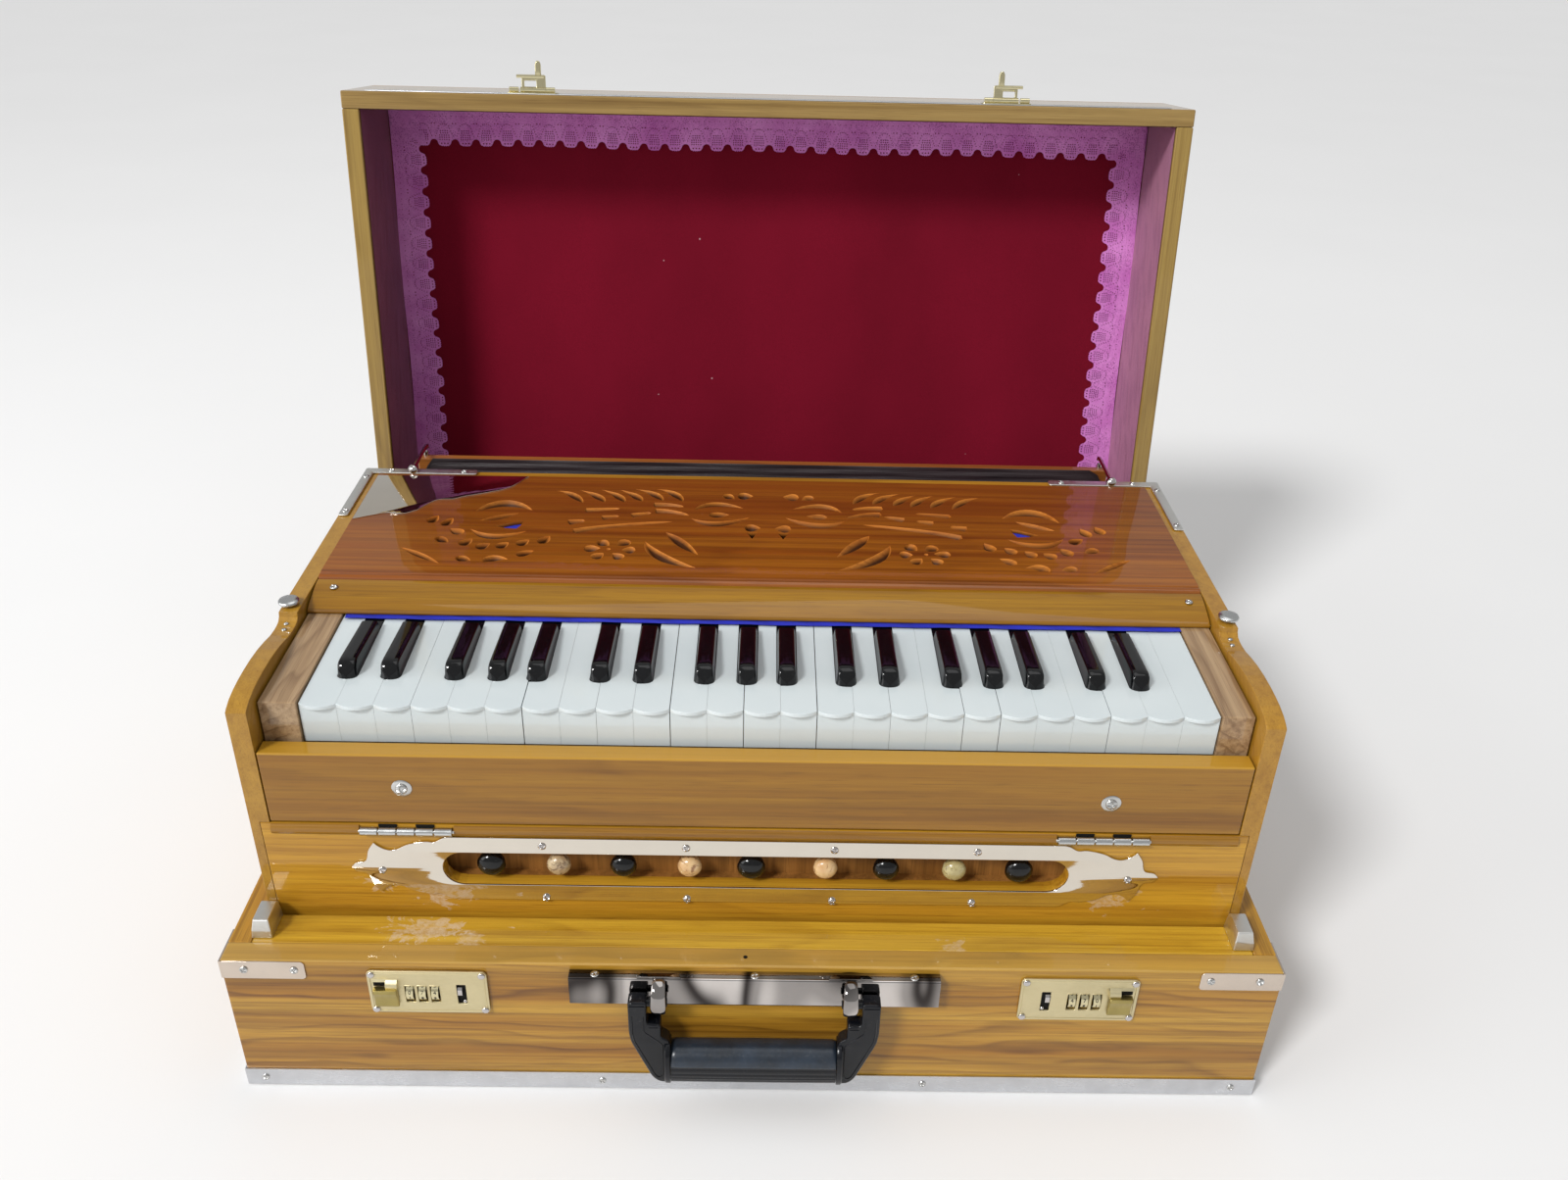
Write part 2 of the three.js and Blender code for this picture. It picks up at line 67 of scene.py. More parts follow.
# ------------------------------------------------------------------ geometry
class Geo:
    def __init__(self):
        self.v, self.f, self.m = [], [], []

    def add(self, made, mi=0, T=None):
        verts, faces = made
        n = len(self.v)
        self.v += [tuple(T @ Vector(v)) for v in verts] if T is not None else [tuple(v) for v in verts]
        self.f += [[i + n for i in f] for f in faces]
        self.m += [mi] * len(faces)
        return self


def g_box(x0, x1, y0, y1, z0, z1):
    v = [(x, y, z) for z in (z0, z1) for y in (y0, y1) for x in (x0, x1)]
    return v, [(0, 2, 3, 1), (4, 5, 7, 6), (0, 1, 5, 4), (2, 6, 7, 3), (0, 4, 6, 2), (1, 3, 7, 5)]


def g_prism(axis, pts, a, b):
    put = {"x": lambda p, q, h: (h, p, q), "y": lambda p, q, h: (p, h, q), "z": lambda p, q, h: (p, q, h)}[axis]
    n = len(pts)
    v = [put(p, q, a) for p, q in pts] + [put(p, q, b) for p, q in pts]
    f = [list(range(n))[::-1], list(range(n, 2 * n))] + [(i, (i + 1) % n, n + (i + 1) % n, n + i) for i in range(n)]
    return v, f


def g_lathe(prof, seg=32, axis="z", at=(0, 0, 0)):
    """prof is pairs (radius, height along the axis); a radius of 0 closes the end."""
    v, rows = [], []
    for r, h in prof:
        if r < 1e-6:
            rows.append([len(v)])
            v.append((0, 0, h))
        else:
            rows.append(list(range(len(v), len(v) + seg)))
            v += [(r * math.cos(2 * math.pi * i / seg), r * math.sin(2 * math.pi * i / seg), h) for i in range(seg)]
    f = []
    for a, b in zip(rows, rows[1:]):
        for i in range(seg):
            j = (i + 1) % seg
            if len(a) == 1 and len(b) == 1:
                continue
            if len(a) == 1:
                f.append((a[0], b[j], b[i]))
            elif len(b) == 1:
                f.append((a[i], a[j], b[0]))
            else:
                f.append((a[i], a[j], b[j], b[i]))
    put = {"z": lambda p: p, "y": lambda p: (p[0], p[2], p[1]), "x": lambda p: (p[2], p[0], p[1])}[axis]
    return [tuple(c + d for c, d in zip(put(p), at)) for p in v], f


def g_loft(rings, caps=True, closed=False):
    n = len(rings[0])
    v = [tuple(p) for r in rings for p in r]
    f = []
    m = len(rings)
    for k in range(m if closed else m - 1):
        a, b = k * n, ((k + 1) % m) * n
        f += [(a + i, a + (i + 1) % n, b + (i + 1) % n, b + i) for i in range(n)]
    if caps and not closed:
        f.append(list(range(n))[::-1])
        f.append(list(range((m - 1) * n, m * n)))
    return v, f


def g_tube(path, r, seg=12, caps=True):
    """A round bar along a path; r is one radius or one for each point."""
    P = [Vector(p) for p in path]
    rr = [r] * len(P) if isinstance(r, (int, float)) else r
    rings, ref = [], None
    for i, p in enumerate(P):
        t = (P[min(i + 1, len(P) - 1)] - P[max(i - 1, 0)]).normalized()
        if ref is None:
            ref = t.orthogonal().normalized()
        ref = (ref - t * ref.dot(t)).normalized()
        o = t.cross(ref)
        rings.append([p + (ref * math.cos(2 * math.pi * k / seg) + o * math.sin(2 * math.pi * k / seg)) * rr[i] for k in range(seg)])
    return g_loft(rings, caps)


def g_plate(outer, holes=(), thick=1.0, bev=0.25, res=2):
    """A flat plate in the XY plane, centred on z 0, with rounded edges."""
    cu = bpy.data.curves.new("tmp", "CURVE")
    cu.dimensions = "2D"
    cu.fill_mode = "BOTH" if thick > 0 else "FRONT"
    cu.extrude = max(thick / 2 - bev, 0)
    cu.bevel_depth = bev
    cu.bevel_resolution = res
    cu.offset = -bev
    for loop in [outer, *holes]:
        s = cu.splines.new("POLY")
        s.points.add(len(loop) - 1)
        for q, (x, y) in zip(s.points, loop):
            q.co = (x, y, 0, 1)
        s.use_cyclic_u = True
    ob = bpy.data.objects.new("tmp", cu)
    scene.collection.objects.link(ob)
    dg = bpy.context.evaluated_depsgraph_get()
    me = bpy.data.meshes.new_from_object(ob.evaluated_get(dg))
    bm = bmesh.new()
    bm.from_mesh(me)
    bmesh.ops.remove_doubles(bm, verts=bm.verts, dist=0.004)
    bm.verts.ensure_lookup_table()
    v = [tuple(x.co) for x in bm.verts]
    f = [[x.index for x in g.verts] for g in bm.faces]
    bm.free()
    bpy.data.meshes.remove(me)
    bpy.data.objects.remove(ob)
    bpy.data.curves.remove(cu)
    return v, f


def front(made, y):
    """A plate made flat in XY, stood up to face -Y with its middle plane at y."""
    return [(p[0], y - p[2], p[1]) for p in made[0]], made[1]


def flat(made, z):
    return [(p[0], p[1], z + p[2]) for p in made[0]], made[1]


def rrect(x0, x1, y0, y1, r, n=5):
    out = []
    for cx, cy, a0 in ((x1 - r, y0 + r, -90), (x1 - r, y1 - r, 0), (x0 + r, y1 - r, 90), (x0 + r, y0 + r, 180)):
        for i in range(n + 1):
            a = math.radians(a0 + 90 * i / n)
            out.append((cx + r * math.cos(a), cy + r * math.sin(a)))
    return out


def circle(x, y, r, n=12):
    return [(x + r * math.cos(2 * math.pi * i / n), y + r * math.sin(2 * math.pi * i / n)) for i in range(n)]


def fillet(pts, r, n=4):
    """The outline with each corner rounded by r, or by one radius for each point."""
    out = []
    m = len(pts)
    for i in range(m):
        p, a, b = Vector(pts[i]), Vector(pts[i - 1]), Vector(pts[(i + 1) % m])
        k = r[i] if isinstance(r, (list, tuple)) else r
        u, w = (a - p), (b - p)
        if k <= 0:
            out.append(tuple(p))
            continue
        k = min(k, u.length * 0.45, w.length * 0.45)
        s, e = p + u.normalized() * k, p + w.normalized() * k
        for j in range(n + 1):
            t = j / n
            out.append(tuple(s * (1 - t) ** 2 + p * 2 * t * (1 - t) + e * t * t))
    return out


def put(name, geo, mats, body, slot=None, lid=False, bevel=0.0, seg=2, angle=32, rep=(), sharp=38, ride=True, orient=True):
    """Makes the object: one mesh from a Geo or (verts, faces), with its materials, on its body."""
    if not isinstance(geo, Geo):
        geo = Geo().add(geo)
    conv = WL if lid else W
    me = bpy.data.meshes.new(name)
    me.from_pydata([conv(v) for v in geo.v], [], geo.f)
    for m in mats if isinstance(mats, (list, tuple)) else [mats]:
        me.materials.append(m)
    me.polygons.foreach_set("material_index", geo.m)
    if orient:
        bm = bmesh.new()
        bm.from_mesh(me)
        bmesh.ops.recalc_face_normals(bm, faces=bm.faces)
        bm.to_mesh(me)
        bm.free()
    me.polygons.foreach_set("use_smooth", [True] * len(me.polygons))
    me.set_sharp_from_angle(angle=math.radians(sharp))
    me.update()
    ob = bpy.data.objects.new(name, me)
    scene.collection.objects.link(ob)
    if bevel:
        m = ob.modifiers.new("edge", "BEVEL")
        m.width = bevel * MM
        m.segments = seg
        m.limit_method = "ANGLE"
        m.angle_limit = math.radians(angle)
        m.harden_normals = True
    if ride:
        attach(ob, body)
    if rep:
        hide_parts(*([rep] if isinstance(rep, str) else rep))
    return ob


def board(name, body, x0, x1, y0, y1, z0, z1, mat, bevel=0.9, **kw):
    return put(name, g_box(x0, x1, y0, y1, z0, z1), mat, body, bevel=bevel, seg=3, **kw)


def dress(node, mat, bevel=0.0, seg=2, angle=30):
    """A CAD piece that stays, with a better material and softened edges."""
    o = NODE[node]
    me = o.data
    me.materials.clear()
    me.materials.append(mat)
    for a in ("custom_normal",):
        if a in me.attributes:
            me.attributes.remove(me.attributes[a])
    if bevel:
        w = o.modifiers.new("weld", "WELD")
        w.merge_threshold = 0.00001
        m = o.modifiers.new("edge", "BEVEL")
        m.width = bevel * MM
        m.segments = seg
        m.limit_method = "ANGLE"
        m.angle_limit = math.radians(angle)
        m.use_clamp_overlap = True
    return o


# ------------------------------------------------------------------ materials
def lin(*c):
    def one(u):
        u /= 255
        return u / 12.92 if u <= 0.04045 else ((u + 0.055) / 1.055) ** 2.4

    return tuple(one(u) for u in c) + (1.0,)


class Mat:
    def __init__(self, name, **sockets):
        self.m = bpy.data.materials.new(name)
        self.m.use_nodes = True
        self.t = self.m.node_tree
        self.t.nodes.clear()
        self.out = self.t.nodes.new("ShaderNodeOutputMaterial")
        self.b = self.t.nodes.new("ShaderNodeBsdfPrincipled")
        self.t.links.new(self.b.outputs[0], self.out.inputs["Surface"])
        for k, v in sockets.items():
            self.b.inputs[k.replace("_", " ")].default_value = v

    def set(self, name, value):
        if isinstance(value, bpy.types.NodeSocket):
            self.t.links.new(value, self.b.inputs[name])
        else:
            self.b.inputs[name].default_value = value
        return self

    def plug(self, socket, value):
        if isinstance(value, bpy.types.NodeSocket):
            self.t.links.new(value, socket)
        elif value is not None:
            socket.default_value = value

    def coord(self, rot=(0, 0, 0), loc=(0, 0, 0)):
        tc = self.t.nodes.new("ShaderNodeTexCoord")
        mp = self.t.nodes.new("ShaderNodeMapping")
        mp.inputs["Rotation"].default_value = rot
        mp.inputs["Location"].default_value = loc
        self.t.links.new(tc.outputs["Object"], mp.inputs["Vector"])
        return mp.outputs[0]

    def vm(self, op, a, b=None, out=0):
        n = self.t.nodes.new("ShaderNodeVectorMath")
        n.operation = op
        self.plug(n.inputs[0], a)
        if b is not None:
            if op == "SCALE":
                self.plug(n.inputs[3], b)
            else:
                self.plug(n.inputs[1], b)
        return n.outputs[1] if op in ("LENGTH", "DISTANCE", "DOT_PRODUCT") else n.outputs[0]

    def noise(self, vec, scale=1.0, detail=2.0, rough=0.5, color=False, dist=0.0):
        n = self.t.nodes.new("ShaderNodeTexNoise")
        self.plug(n.inputs["Vector"], vec)
        n.inputs["Scale"].default_value = scale
        n.inputs["Detail"].default_value = detail
        n.inputs["Roughness"].default_value = rough
        n.inputs["Distortion"].default_value = dist
        return n.outputs[1] if color else n.outputs[0]

    def voronoi(self, vec, scale, feature="F1", out="Distance"):
        n = self.t.nodes.new("ShaderNodeTexVoronoi")
        n.feature = feature
        self.plug(n.inputs["Vector"], vec)
        n.inputs["Scale"].default_value = scale
        return n.outputs[out]

    def math(self, op, a, b=None, clamp=False):
        n = self.t.nodes.new("ShaderNodeMath")
        n.operation = op
        n.use_clamp = clamp
        self.plug(n.inputs[0], a)
        if b is not None:
            self.plug(n.inputs[1], b)
        return n.outputs[0]

    def sep(self, vec):
        n = self.t.nodes.new("ShaderNodeSeparateXYZ")
        self.plug(n.inputs[0], vec)
        return n.outputs

    def ramp(self, fac, stops, smooth=False):
        n = self.t.nodes.new("ShaderNodeValToRGB")
        self.plug(n.inputs[0], fac)
        if smooth:
            n.color_ramp.interpolation = "EASE"
        e = n.color_ramp.elements
        while len(e) < len(stops):
            e.new(0.5)
        for k, (p, c) in zip(e, stops):
            k.position = p
            k.color = c if isinstance(c, tuple) else (c, c, c, 1)
        return n.outputs[0]

    def mix(self, fac, a, b, mode="MIX"):
        n = self.t.nodes.new("ShaderNodeMix")
        n.data_type = "RGBA"
        n.blend_type = mode
        self.plug(n.inputs[0], fac)
        self.plug(n.inputs[6], a)
        self.plug(n.inputs[7], b)
        return n.outputs[2]

    def bump(self, height, dist, strength=1.0, normal=None):
        n = self.t.nodes.new("ShaderNodeBump")
        n.inputs["Distance"].default_value = dist
        n.inputs["Strength"].default_value = strength
        self.plug(n.inputs["Height"], height)
        if normal is not None:
            self.plug(n.inputs["Normal"], normal)
        return n.outputs[0]

    def wave(self, vec, scale, direction="X", dist=0.0):
        n = self.t.nodes.new("ShaderNodeTexWave")
        n.bands_direction = direction
        n.inputs["Scale"].default_value = scale
        n.inputs["Distortion"].default_value = dist
        self.plug(n.inputs["Vector"], vec)
        return n.outputs[1]


GRAIN_X = (0, 0, 0)
GRAIN_Y = (0, 0, math.radians(-90))
GRAIN_Z = (0, math.radians(90), 0)
GRAIN_UP = (math.radians(-52), 0, math.radians(-90))
LID_X = (LID_A, 0, 0)
LID_Y = (LID_A, 0, math.radians(-90))

HONEY = ((188, 140, 44), (160, 106, 24), (88, 46, 8))
LEDGE = ((206, 164, 50), (182, 138, 34), (122, 76, 14))
OLIVE_W = ((158, 130, 76), (136, 106, 50), (92, 62, 26))
AMBER = ((160, 96, 22), (136, 70, 12), (76, 32, 4))
BROWN = ((186, 158, 122), (162, 130, 92), (102, 70, 44))


def wood(name, rot=GRAIN_X, seed=0, tones=HONEY, streak=0.85, ring=0.4, ring_at=(0.09, 0.16), freq=150, coat=0.8, rough=0.42, coat_rough=0.045, scuffs=(), painted_cut_shade=None, raw_scuff=(206, 190, 172), painted_top_light=None, shade=None):
    m = Mat(name, Roughness=rough)
    P = m.coord(rot, (seed * 0.731, seed * 0.0173, seed * 0.0119))
    light, mid, dark = (lin(*c) for c in tones)
    # growth rings about an axis beside the board, strongly warped so that no two lines are alike
    warp = m.noise(m.vm("MULTIPLY", P, (1.6, 9, 9)), 1.0, 4.0, 0.6, color=True)
    warp = m.vm("SCALE", m.vm("SUBTRACT", warp, (0.5, 0.5, 0.5)), 0.11)
    Q = m.vm("ADD", m.vm("ADD", P, (0, ring_at[0] - seed * 0.0173, ring_at[1] - seed * 0.0119)), warp)
    r = m.vm("LENGTH", m.vm("MULTIPLY", Q, (0.03, 1, 1)))
    rings = m.ramp(m.math("FRACT", m.math("MULTIPLY", r, freq)), [(0.0, 0.0), (0.6, 0.12), (0.88, 1.0), (1.0, 0.0)])
    # bands, lines, short fibres and pores
    band = m.ramp(m.noise(m.vm("MULTIPLY", P, (1.2, 60, 60)), 1.0, 3.0, 0.6), [(0.38, 0.0), (0.66, 1.0)])
    line = m.ramp(m.noise(m.vm("MULTIPLY", P, (2.4, 190, 190)), 1.0, 4.0, 0.7), [(0.44, 0.0), (0.64, 1.0)])
    thin = m.ramp(m.noise(m.vm("MULTIPLY", P, (3.4, 420, 420)), 1.0, 2.0, 0.6), [(0.52, 0.0), (0.70, 1.0)])
    fibre = m.noise(m.vm("MULTIPLY", P, (22, 1100, 1100)), 1.0, 2.0, 0.6)
    pore = m.ramp(m.noise(m.vm("MULTIPLY", P, (38, 1700, 1700)), 1.0, 1.0, 0.5), [(0.60, 0.0), (0.70, 1.0)])
    patch = m.ramp(m.noise(m.vm("MULTIPLY", P, (1.7, 5, 5)), 1.0, 2.0, 0.5), [(0.35, 0.35), (0.65, 1.0)])
    c = m.mix(m.math("MULTIPLY", band, streak), light, mid)
    c = m.mix(m.math("MULTIPLY", m.math("MULTIPLY", line, patch), 0.62 * streak), c, dark)
    c = m.mix(m.math("MULTIPLY", m.math("MULTIPLY", rings, ring), m.math("ADD", band, 0.25)), c, dark)
    c = m.mix(m.math("MULTIPLY", thin, 0.34 * streak), c, dark)
    c = m.mix(m.math("MULTIPLY", pore, 0.3), c, dark)
    c = m.mix(0.5, c, m.ramp(fibre, [(0.3, 0.76), (0.7, 1.0)]), "MULTIPLY")
    for (x, y, z, rad, amount) in scuffs:
        raw = m.coord()
        d = m.vm("DISTANCE", m.vm("MULTIPLY", raw, (0.5, 1, 1)), tuple(a * b for a, b in zip(W((x, y, z)), (0.5, 1, 1))))
        torn = m.noise(m.vm("MULTIPLY", raw, (0.6, 1, 1)), 85.0, 6.0, 0.66, dist=0.8)
        edge = m.math("ADD", m.math("DIVIDE", d, rad * MM), m.math("MULTIPLY", m.math("SUBTRACT", torn, 0.5), 3.4))
        k = m.ramp(edge, [(0.36, 1.0), (0.44, 0.0)])
        grit = m.ramp(m.noise(raw, 420.0, 4.0, 0.7), [(0.36, 0.25), (0.62, 1.0)])
        c = m.mix(m.math("MULTIPLY", m.math("MULTIPLY", k, grit), amount), c, lin(*raw_scuff))
    # painted light: faces above the given height are blended towards a lighter colour, standing in for the extra light
    # a top face catches
    if painted_top_light:
        up = m.math("MULTIPLY", m.math("GREATER_THAN", m.sep(m.coord())[2], painted_top_light[0] * MM), painted_top_light[2])
        c = m.mix(up, c, lin(*painted_top_light[1]))
    # painted shade: the colour is blended towards dark brown from the front to the back of the board
    if shade:
        y0, y1 = W((0, shade[0], 0))[1], W((0, shade[1], 0))[1]
        back = m.math("DIVIDE", m.math("SUBTRACT", m.sep(m.coord())[1], y0), y1 - y0, clamp=True)
        c = m.mix(m.math("MULTIPLY", back, shade[2]), c, lin(92, 38, 12))
    # painted shade: the colour darkens with depth below the given height, standing in for shadow at the bottom of the
    # cuts
    if painted_cut_shade:
        z = m.sep(m.coord())[2]
        down = m.math("DIVIDE", m.math("SUBTRACT", painted_cut_shade[0] * MM, z), painted_cut_shade[1] * MM, clamp=True)
        c = m.mix(m.math("MULTIPLY", down, painted_cut_shade[2]), c, lin(44, 18, 6))
    m.set("Base Color", c)
    h = m.math("SUBTRACT", fibre, pore)
    m.set("Normal", m.bump(h, 0.00004, 0.25))
    m.b.inputs["Coat Weight"].default_value = coat
    m.b.inputs["Coat Roughness"].default_value = coat_rough
    m.b.inputs["Coat IOR"].default_value = 1.5
    m.b.inputs["Specular IOR Level"].default_value = 0.12
    if coat:
        ripple = m.noise(m.vm("MULTIPLY", P, (12, 60, 60)), 1.0, 2.0, 0.5)
        m.set("Coat Normal", m.bump(ripple, 0.0002, 0.16))
    return m.m


def velvet():
    m = Mat("velvet_red", Roughness=0.95)
    P = m.coord(LID_X)
    nap = m.noise(m.vm("MULTIPLY", P, (9, 5, 5)), 1.0, 3.0, 0.5)
    pile = m.noise(P, 1900.0, 2.0, 0.7)
    lint = m.ramp(m.voronoi(P, 34.0), [(0.0, 1.0), (0.020, 1.0), (0.025, 0.0)])
    lint = m.math("MULTIPLY", lint, m.ramp(m.noise(P, 27.0, 0.0), [(0.6, 0.0), (0.64, 0.75)]))
    c = m.mix(m.ramp(nap, [(0.3, 0.0), (0.7, 1.0)]), lin(112, 8, 32), lin(130, 13, 40))
    c = m.mix(m.ramp(pile, [(0.35, 0.0), (0.65, 0.5)]), c, lin(86, 3, 22))
    c = m.mix(lint, c, lin(205, 170, 178))
    m.set("Base Color", c)
    m.set("Normal", m.bump(pile, 0.0003, 0.4))
    m.b.inputs["Sheen Weight"].default_value = 0.35
    m.b.inputs["Sheen Roughness"].default_value = 0.35
    m.b.inputs["Sheen Tint"].default_value = lin(214, 60, 96)
    m.b.inputs["Specular IOR Level"].default_value = 0.15
    return m.m


def lace_cloth():
    """Machine lace: a net of small holes between shiny threads, with denser worked bands."""
    m = Mat("lace_orchid", Roughness=0.7)
    P = m.coord(LID_X)
    net = m.voronoi(P, 900.0)
    holes = m.ramp(net, [(0.0, 0.0), (0.26, 0.0), (0.42, 1.0)])
    area_k = m.ramp(m.noise(P, 75.0, 3.0, 0.55), [(0.38, 0.15), (0.62, 1.0)])
    c = m.mix(m.ramp(m.noise(P, 38.0, 3.0, 0.6), [(0.3, 0.0), (0.7, 1.0)]), lin(226, 146, 218), lin(200, 108, 190))
    dark = m.math("MULTIPLY", m.math("SUBTRACT", 1.0, holes), area_k)
    c = m.mix(m.math("MULTIPLY", dark, 0.66), c, lin(134, 50, 128))
    m.set("Base Color", c)
    m.set("Normal", m.bump(holes, 0.0003, 0.6))
    m.b.inputs["Sheen Weight"].default_value = 0.5
    m.b.inputs["Sheen Roughness"].default_value = 0.35
    m.b.inputs["Sheen Tint"].default_value = lin(255, 214, 255)
    m.b.inputs["Specular IOR Level"].default_value = 0.3
    return m.m


def weave(name, colours, scale=900.0, sheen=0.4, tint=(220, 150, 220), rough=0.6, rot=(0, 0, 0), spec=0.3):
    m = Mat(name, Roughness=rough)
    P = m.coord(rot)
    a = m.wave(P, scale, "X", 1.2)
    b = m.wave(P, scale, "Y", 1.2)
    z = m.wave(P, scale, "Z", 1.2)
    w = m.math("MULTIPLY", m.math("ADD", m.math("ADD", a, b), z), 0.333)
    big = m.noise(P, 14.0, 3.0, 0.55)
    c = m.mix(m.ramp(big, [(0.3, 0.0), (0.7, 1.0)]), lin(*colours[0]), lin(*colours[1]))
    c = m.mix(m.ramp(w, [(0.25, 0.55), (0.7, 0.0)]), c, lin(*colours[2]))
    m.set("Base Color", c)
    m.set("Normal", m.bump(w, 0.0002, 0.5))
    m.b.inputs["Sheen Weight"].default_value = sheen
    m.b.inputs["Sheen Roughness"].default_value = 0.4
    m.b.inputs["Sheen Tint"].default_value = lin(*tint)
    m.b.inputs["Specular IOR Level"].default_value = spec
    return m.m


def metal(name, colour, rough=0.12, brushed=None, grime=0.12, dents=0.1, wavy=None):
    m = Mat(name, Metallic=1.0)
    P = m.coord()
    n = m.noise(P, 55.0, 4.0, 0.6)
    vec = m.vm("MULTIPLY", P, brushed or (60, 400, 400))
    fine = m.noise(vec, 6.0 if brushed else 3.0, 2.0, 0.6)
    c = m.mix(m.ramp(n, [(0.35, 0.0), (0.75, grime)]), lin(*colour), lin(*[int(k * 0.62) for k in colour]))
    m.set("Base Color", c)
    m.set("Roughness", m.ramp(m.math("ADD", m.math("MULTIPLY", n, 0.6), m.math("MULTIPLY", fine, 0.4)), [(0.3, rough), (0.75, rough * 2.1 + 0.02)]))
    nrm = m.bump(m.math("ADD", fine, m.noise(P, 38.0, 1.0)), 0.00006, dents)
    if wavy:
        # painted reflection: dark wavy bands mixed into the base colour stand in for the room reflected in the chrome;
        # the wavy bump below is real
        bands = m.noise(m.vm("MULTIPLY", P, (21, 4, 9)), 1.0, 1.0, 0.3, dist=0.3)
        c = m.mix(m.ramp(bands, [(0.36, 0.0), (0.45, 0.95), (0.55, 0.5), (0.61, 0.0)], True), c, lin(34, 28, 27))
        m.set("Base Color", c)
        nrm = m.bump(m.noise(P, wavy[0], 1.0, 0.4), wavy[1], 1.0, nrm)
    m.set("Normal", nrm)
    return m.m


def plain(name, colour, rough=0.4, spec=0.5, bump_scale=900.0, bump=0.25, spread=0.12, coat=0.0, dist=0.00008, dust=0.0):
    m = Mat(name)
    P = m.coord()
    n = m.noise(P, 60.0, 3.0, 0.6)
    f = m.noise(P, bump_scale, 2.0, 0.6)
    hi = tuple(min(255, int(k * (1 + spread)) + 2) for k in colour)
    lo = tuple(int(k * (1 - spread)) for k in colour)
    c = m.mix(m.ramp(n, [(0.3, 0.0), (0.7, 1.0)]), lin(*lo), lin(*hi))
    if dust:
        c = m.mix(m.ramp(m.noise(P, 420.0, 5.0, 0.75), [(0.56, 0.0), (0.72, dust)]), c, lin(190, 186, 178))
    m.set("Base Color", c)
    m.set("Roughness", m.ramp(f, [(0.3, max(rough - 0.05, 0.02)), (0.7, rough + 0.06)]))
    m.set("Normal", m.bump(f, dist, bump))
    m.b.inputs["Specular IOR Level"].default_value = spec
    m.b.inputs["Coat Weight"].default_value = coat
    m.b.inputs["Coat Roughness"].default_value = 0.06
    return m.m


# painted light: the front board's top face is painted lighter than its front
TEAK_FRONT = wood("teak_front_board", seed=3, streak=1.0, ring=0.55, freq=95, tones=((194, 148, 52), (164, 112, 28), (86, 46, 8)), painted_top_light=(107.2, (184, 150, 78), 0.55))
TEAK_CASE_X = wood("teak_case_x", seed=11)
TEAK_CASE_Y = wood("teak_case_y", GRAIN_Y, seed=17)
TEAK_LEDGE = wood("teak_ledge", seed=23, tones=LEDGE, streak=0.85, ring=0.3, scuffs=[(-199, 28, 108, 26, 0.55), (-176, 20, 108, 14, 0.35), (120, 20, 108, 10, 0.35)])
TEAK_CHEEK_L = wood("teak_cheek_left", GRAIN_UP, seed=29, tones=((176, 132, 46), (154, 108, 28), (104, 62, 14)), streak=0.45, ring=0.12)
TEAK_CHEEK_R = wood("teak_cheek_right", GRAIN_UP, seed=31, tones=((176, 130, 44), (154, 106, 26), (104, 60, 12)), streak=0.45, ring=0.12)
TEAK_STOP = wood("teak_stop_panel", seed=37, tones=((200, 150, 42), (176, 122, 24), (112, 64, 8)), streak=0.8, ring=0.3, freq=110, scuffs=[(-196, 42, 125, 20, 0.6), (-226, 42, 133, 16, 0.5), (222, 42, 128, 20, 0.45)])
# painted light: the flap's top face is painted lighter than its front
TEAK_FLAP = wood("teak_flap", seed=41, tones=((158, 112, 28), (138, 90, 18), (90, 50, 8)), streak=0.7, ring=0.28, freq=100, painted_top_light=(229.2, (196, 150, 50), 0.6))
# painted shade: the cover grows darker towards its back
TEAK_COVER = wood("teak_cover", seed=47, tones=AMBER, streak=0.85, ring=0.32, freq=110, coat_rough=0.03, shade=(196, 330, 0.41))
TEAK_RAIL = wood("teak_rail", seed=53, tones=((160, 114, 18), (136, 90, 12), (88, 48, 6)), streak=0.75, ring=0.25)
TEAK_BLOCK = wood("teak_key_block", GRAIN_Y, seed=59, tones=BROWN, streak=0.8, ring=0.5, freq=380, ring_at=(0.05, 0.05))
TEAK_REAR = wood("teak_rear", seed=61)
TEAK_PUMP = wood("teak_pump", seed=67, tones=((160, 98, 44), (136, 76, 30), (86, 42, 16)))
TEAK_LID_X = wood("teak_lid_x", LID_X, seed=71, tones=OLIVE_W, streak=0.8, ring=0.3)
TEAK_LID_Y = wood("teak_lid_y", LID_Y, seed=73, tones=((164, 136, 72), (142, 112, 50), (96, 66, 26)), streak=0.8, ring=0.3)
TEAK_LID_TOP = wood("teak_lid_panel", LID_X, seed=79, streak=0.9, ring=0.5, freq=100)
# painted shade darkens the bottom of every chip cut
TEAK_CUT = wood("teak_carved", seed=83, tones=((204, 128, 50), (176, 100, 32), (112, 54, 16)), coat=0.0, rough=0.5, painted_cut_shade=(267.5, 2.5, 0.93))
TEAK_IN = wood("inner_wood", GRAIN_Z, seed=89, tones=((168, 116, 58), (138, 90, 40), (84, 52, 22)), coat=0.3, coat_rough=0.25)
RAW = wood("raw_wood", GRAIN_Y, seed=97, tones=((206, 174, 124), (188, 150, 98), (142, 102, 64)), coat=0.0, rough=0.7)
VELVET = velvet()
SATIN = weave("satin_plum", ((114, 58, 74), (132, 72, 86), (70, 30, 44)), 1100.0, 0.25, (226, 170, 200), 0.38, LID_X, spec=0.5)
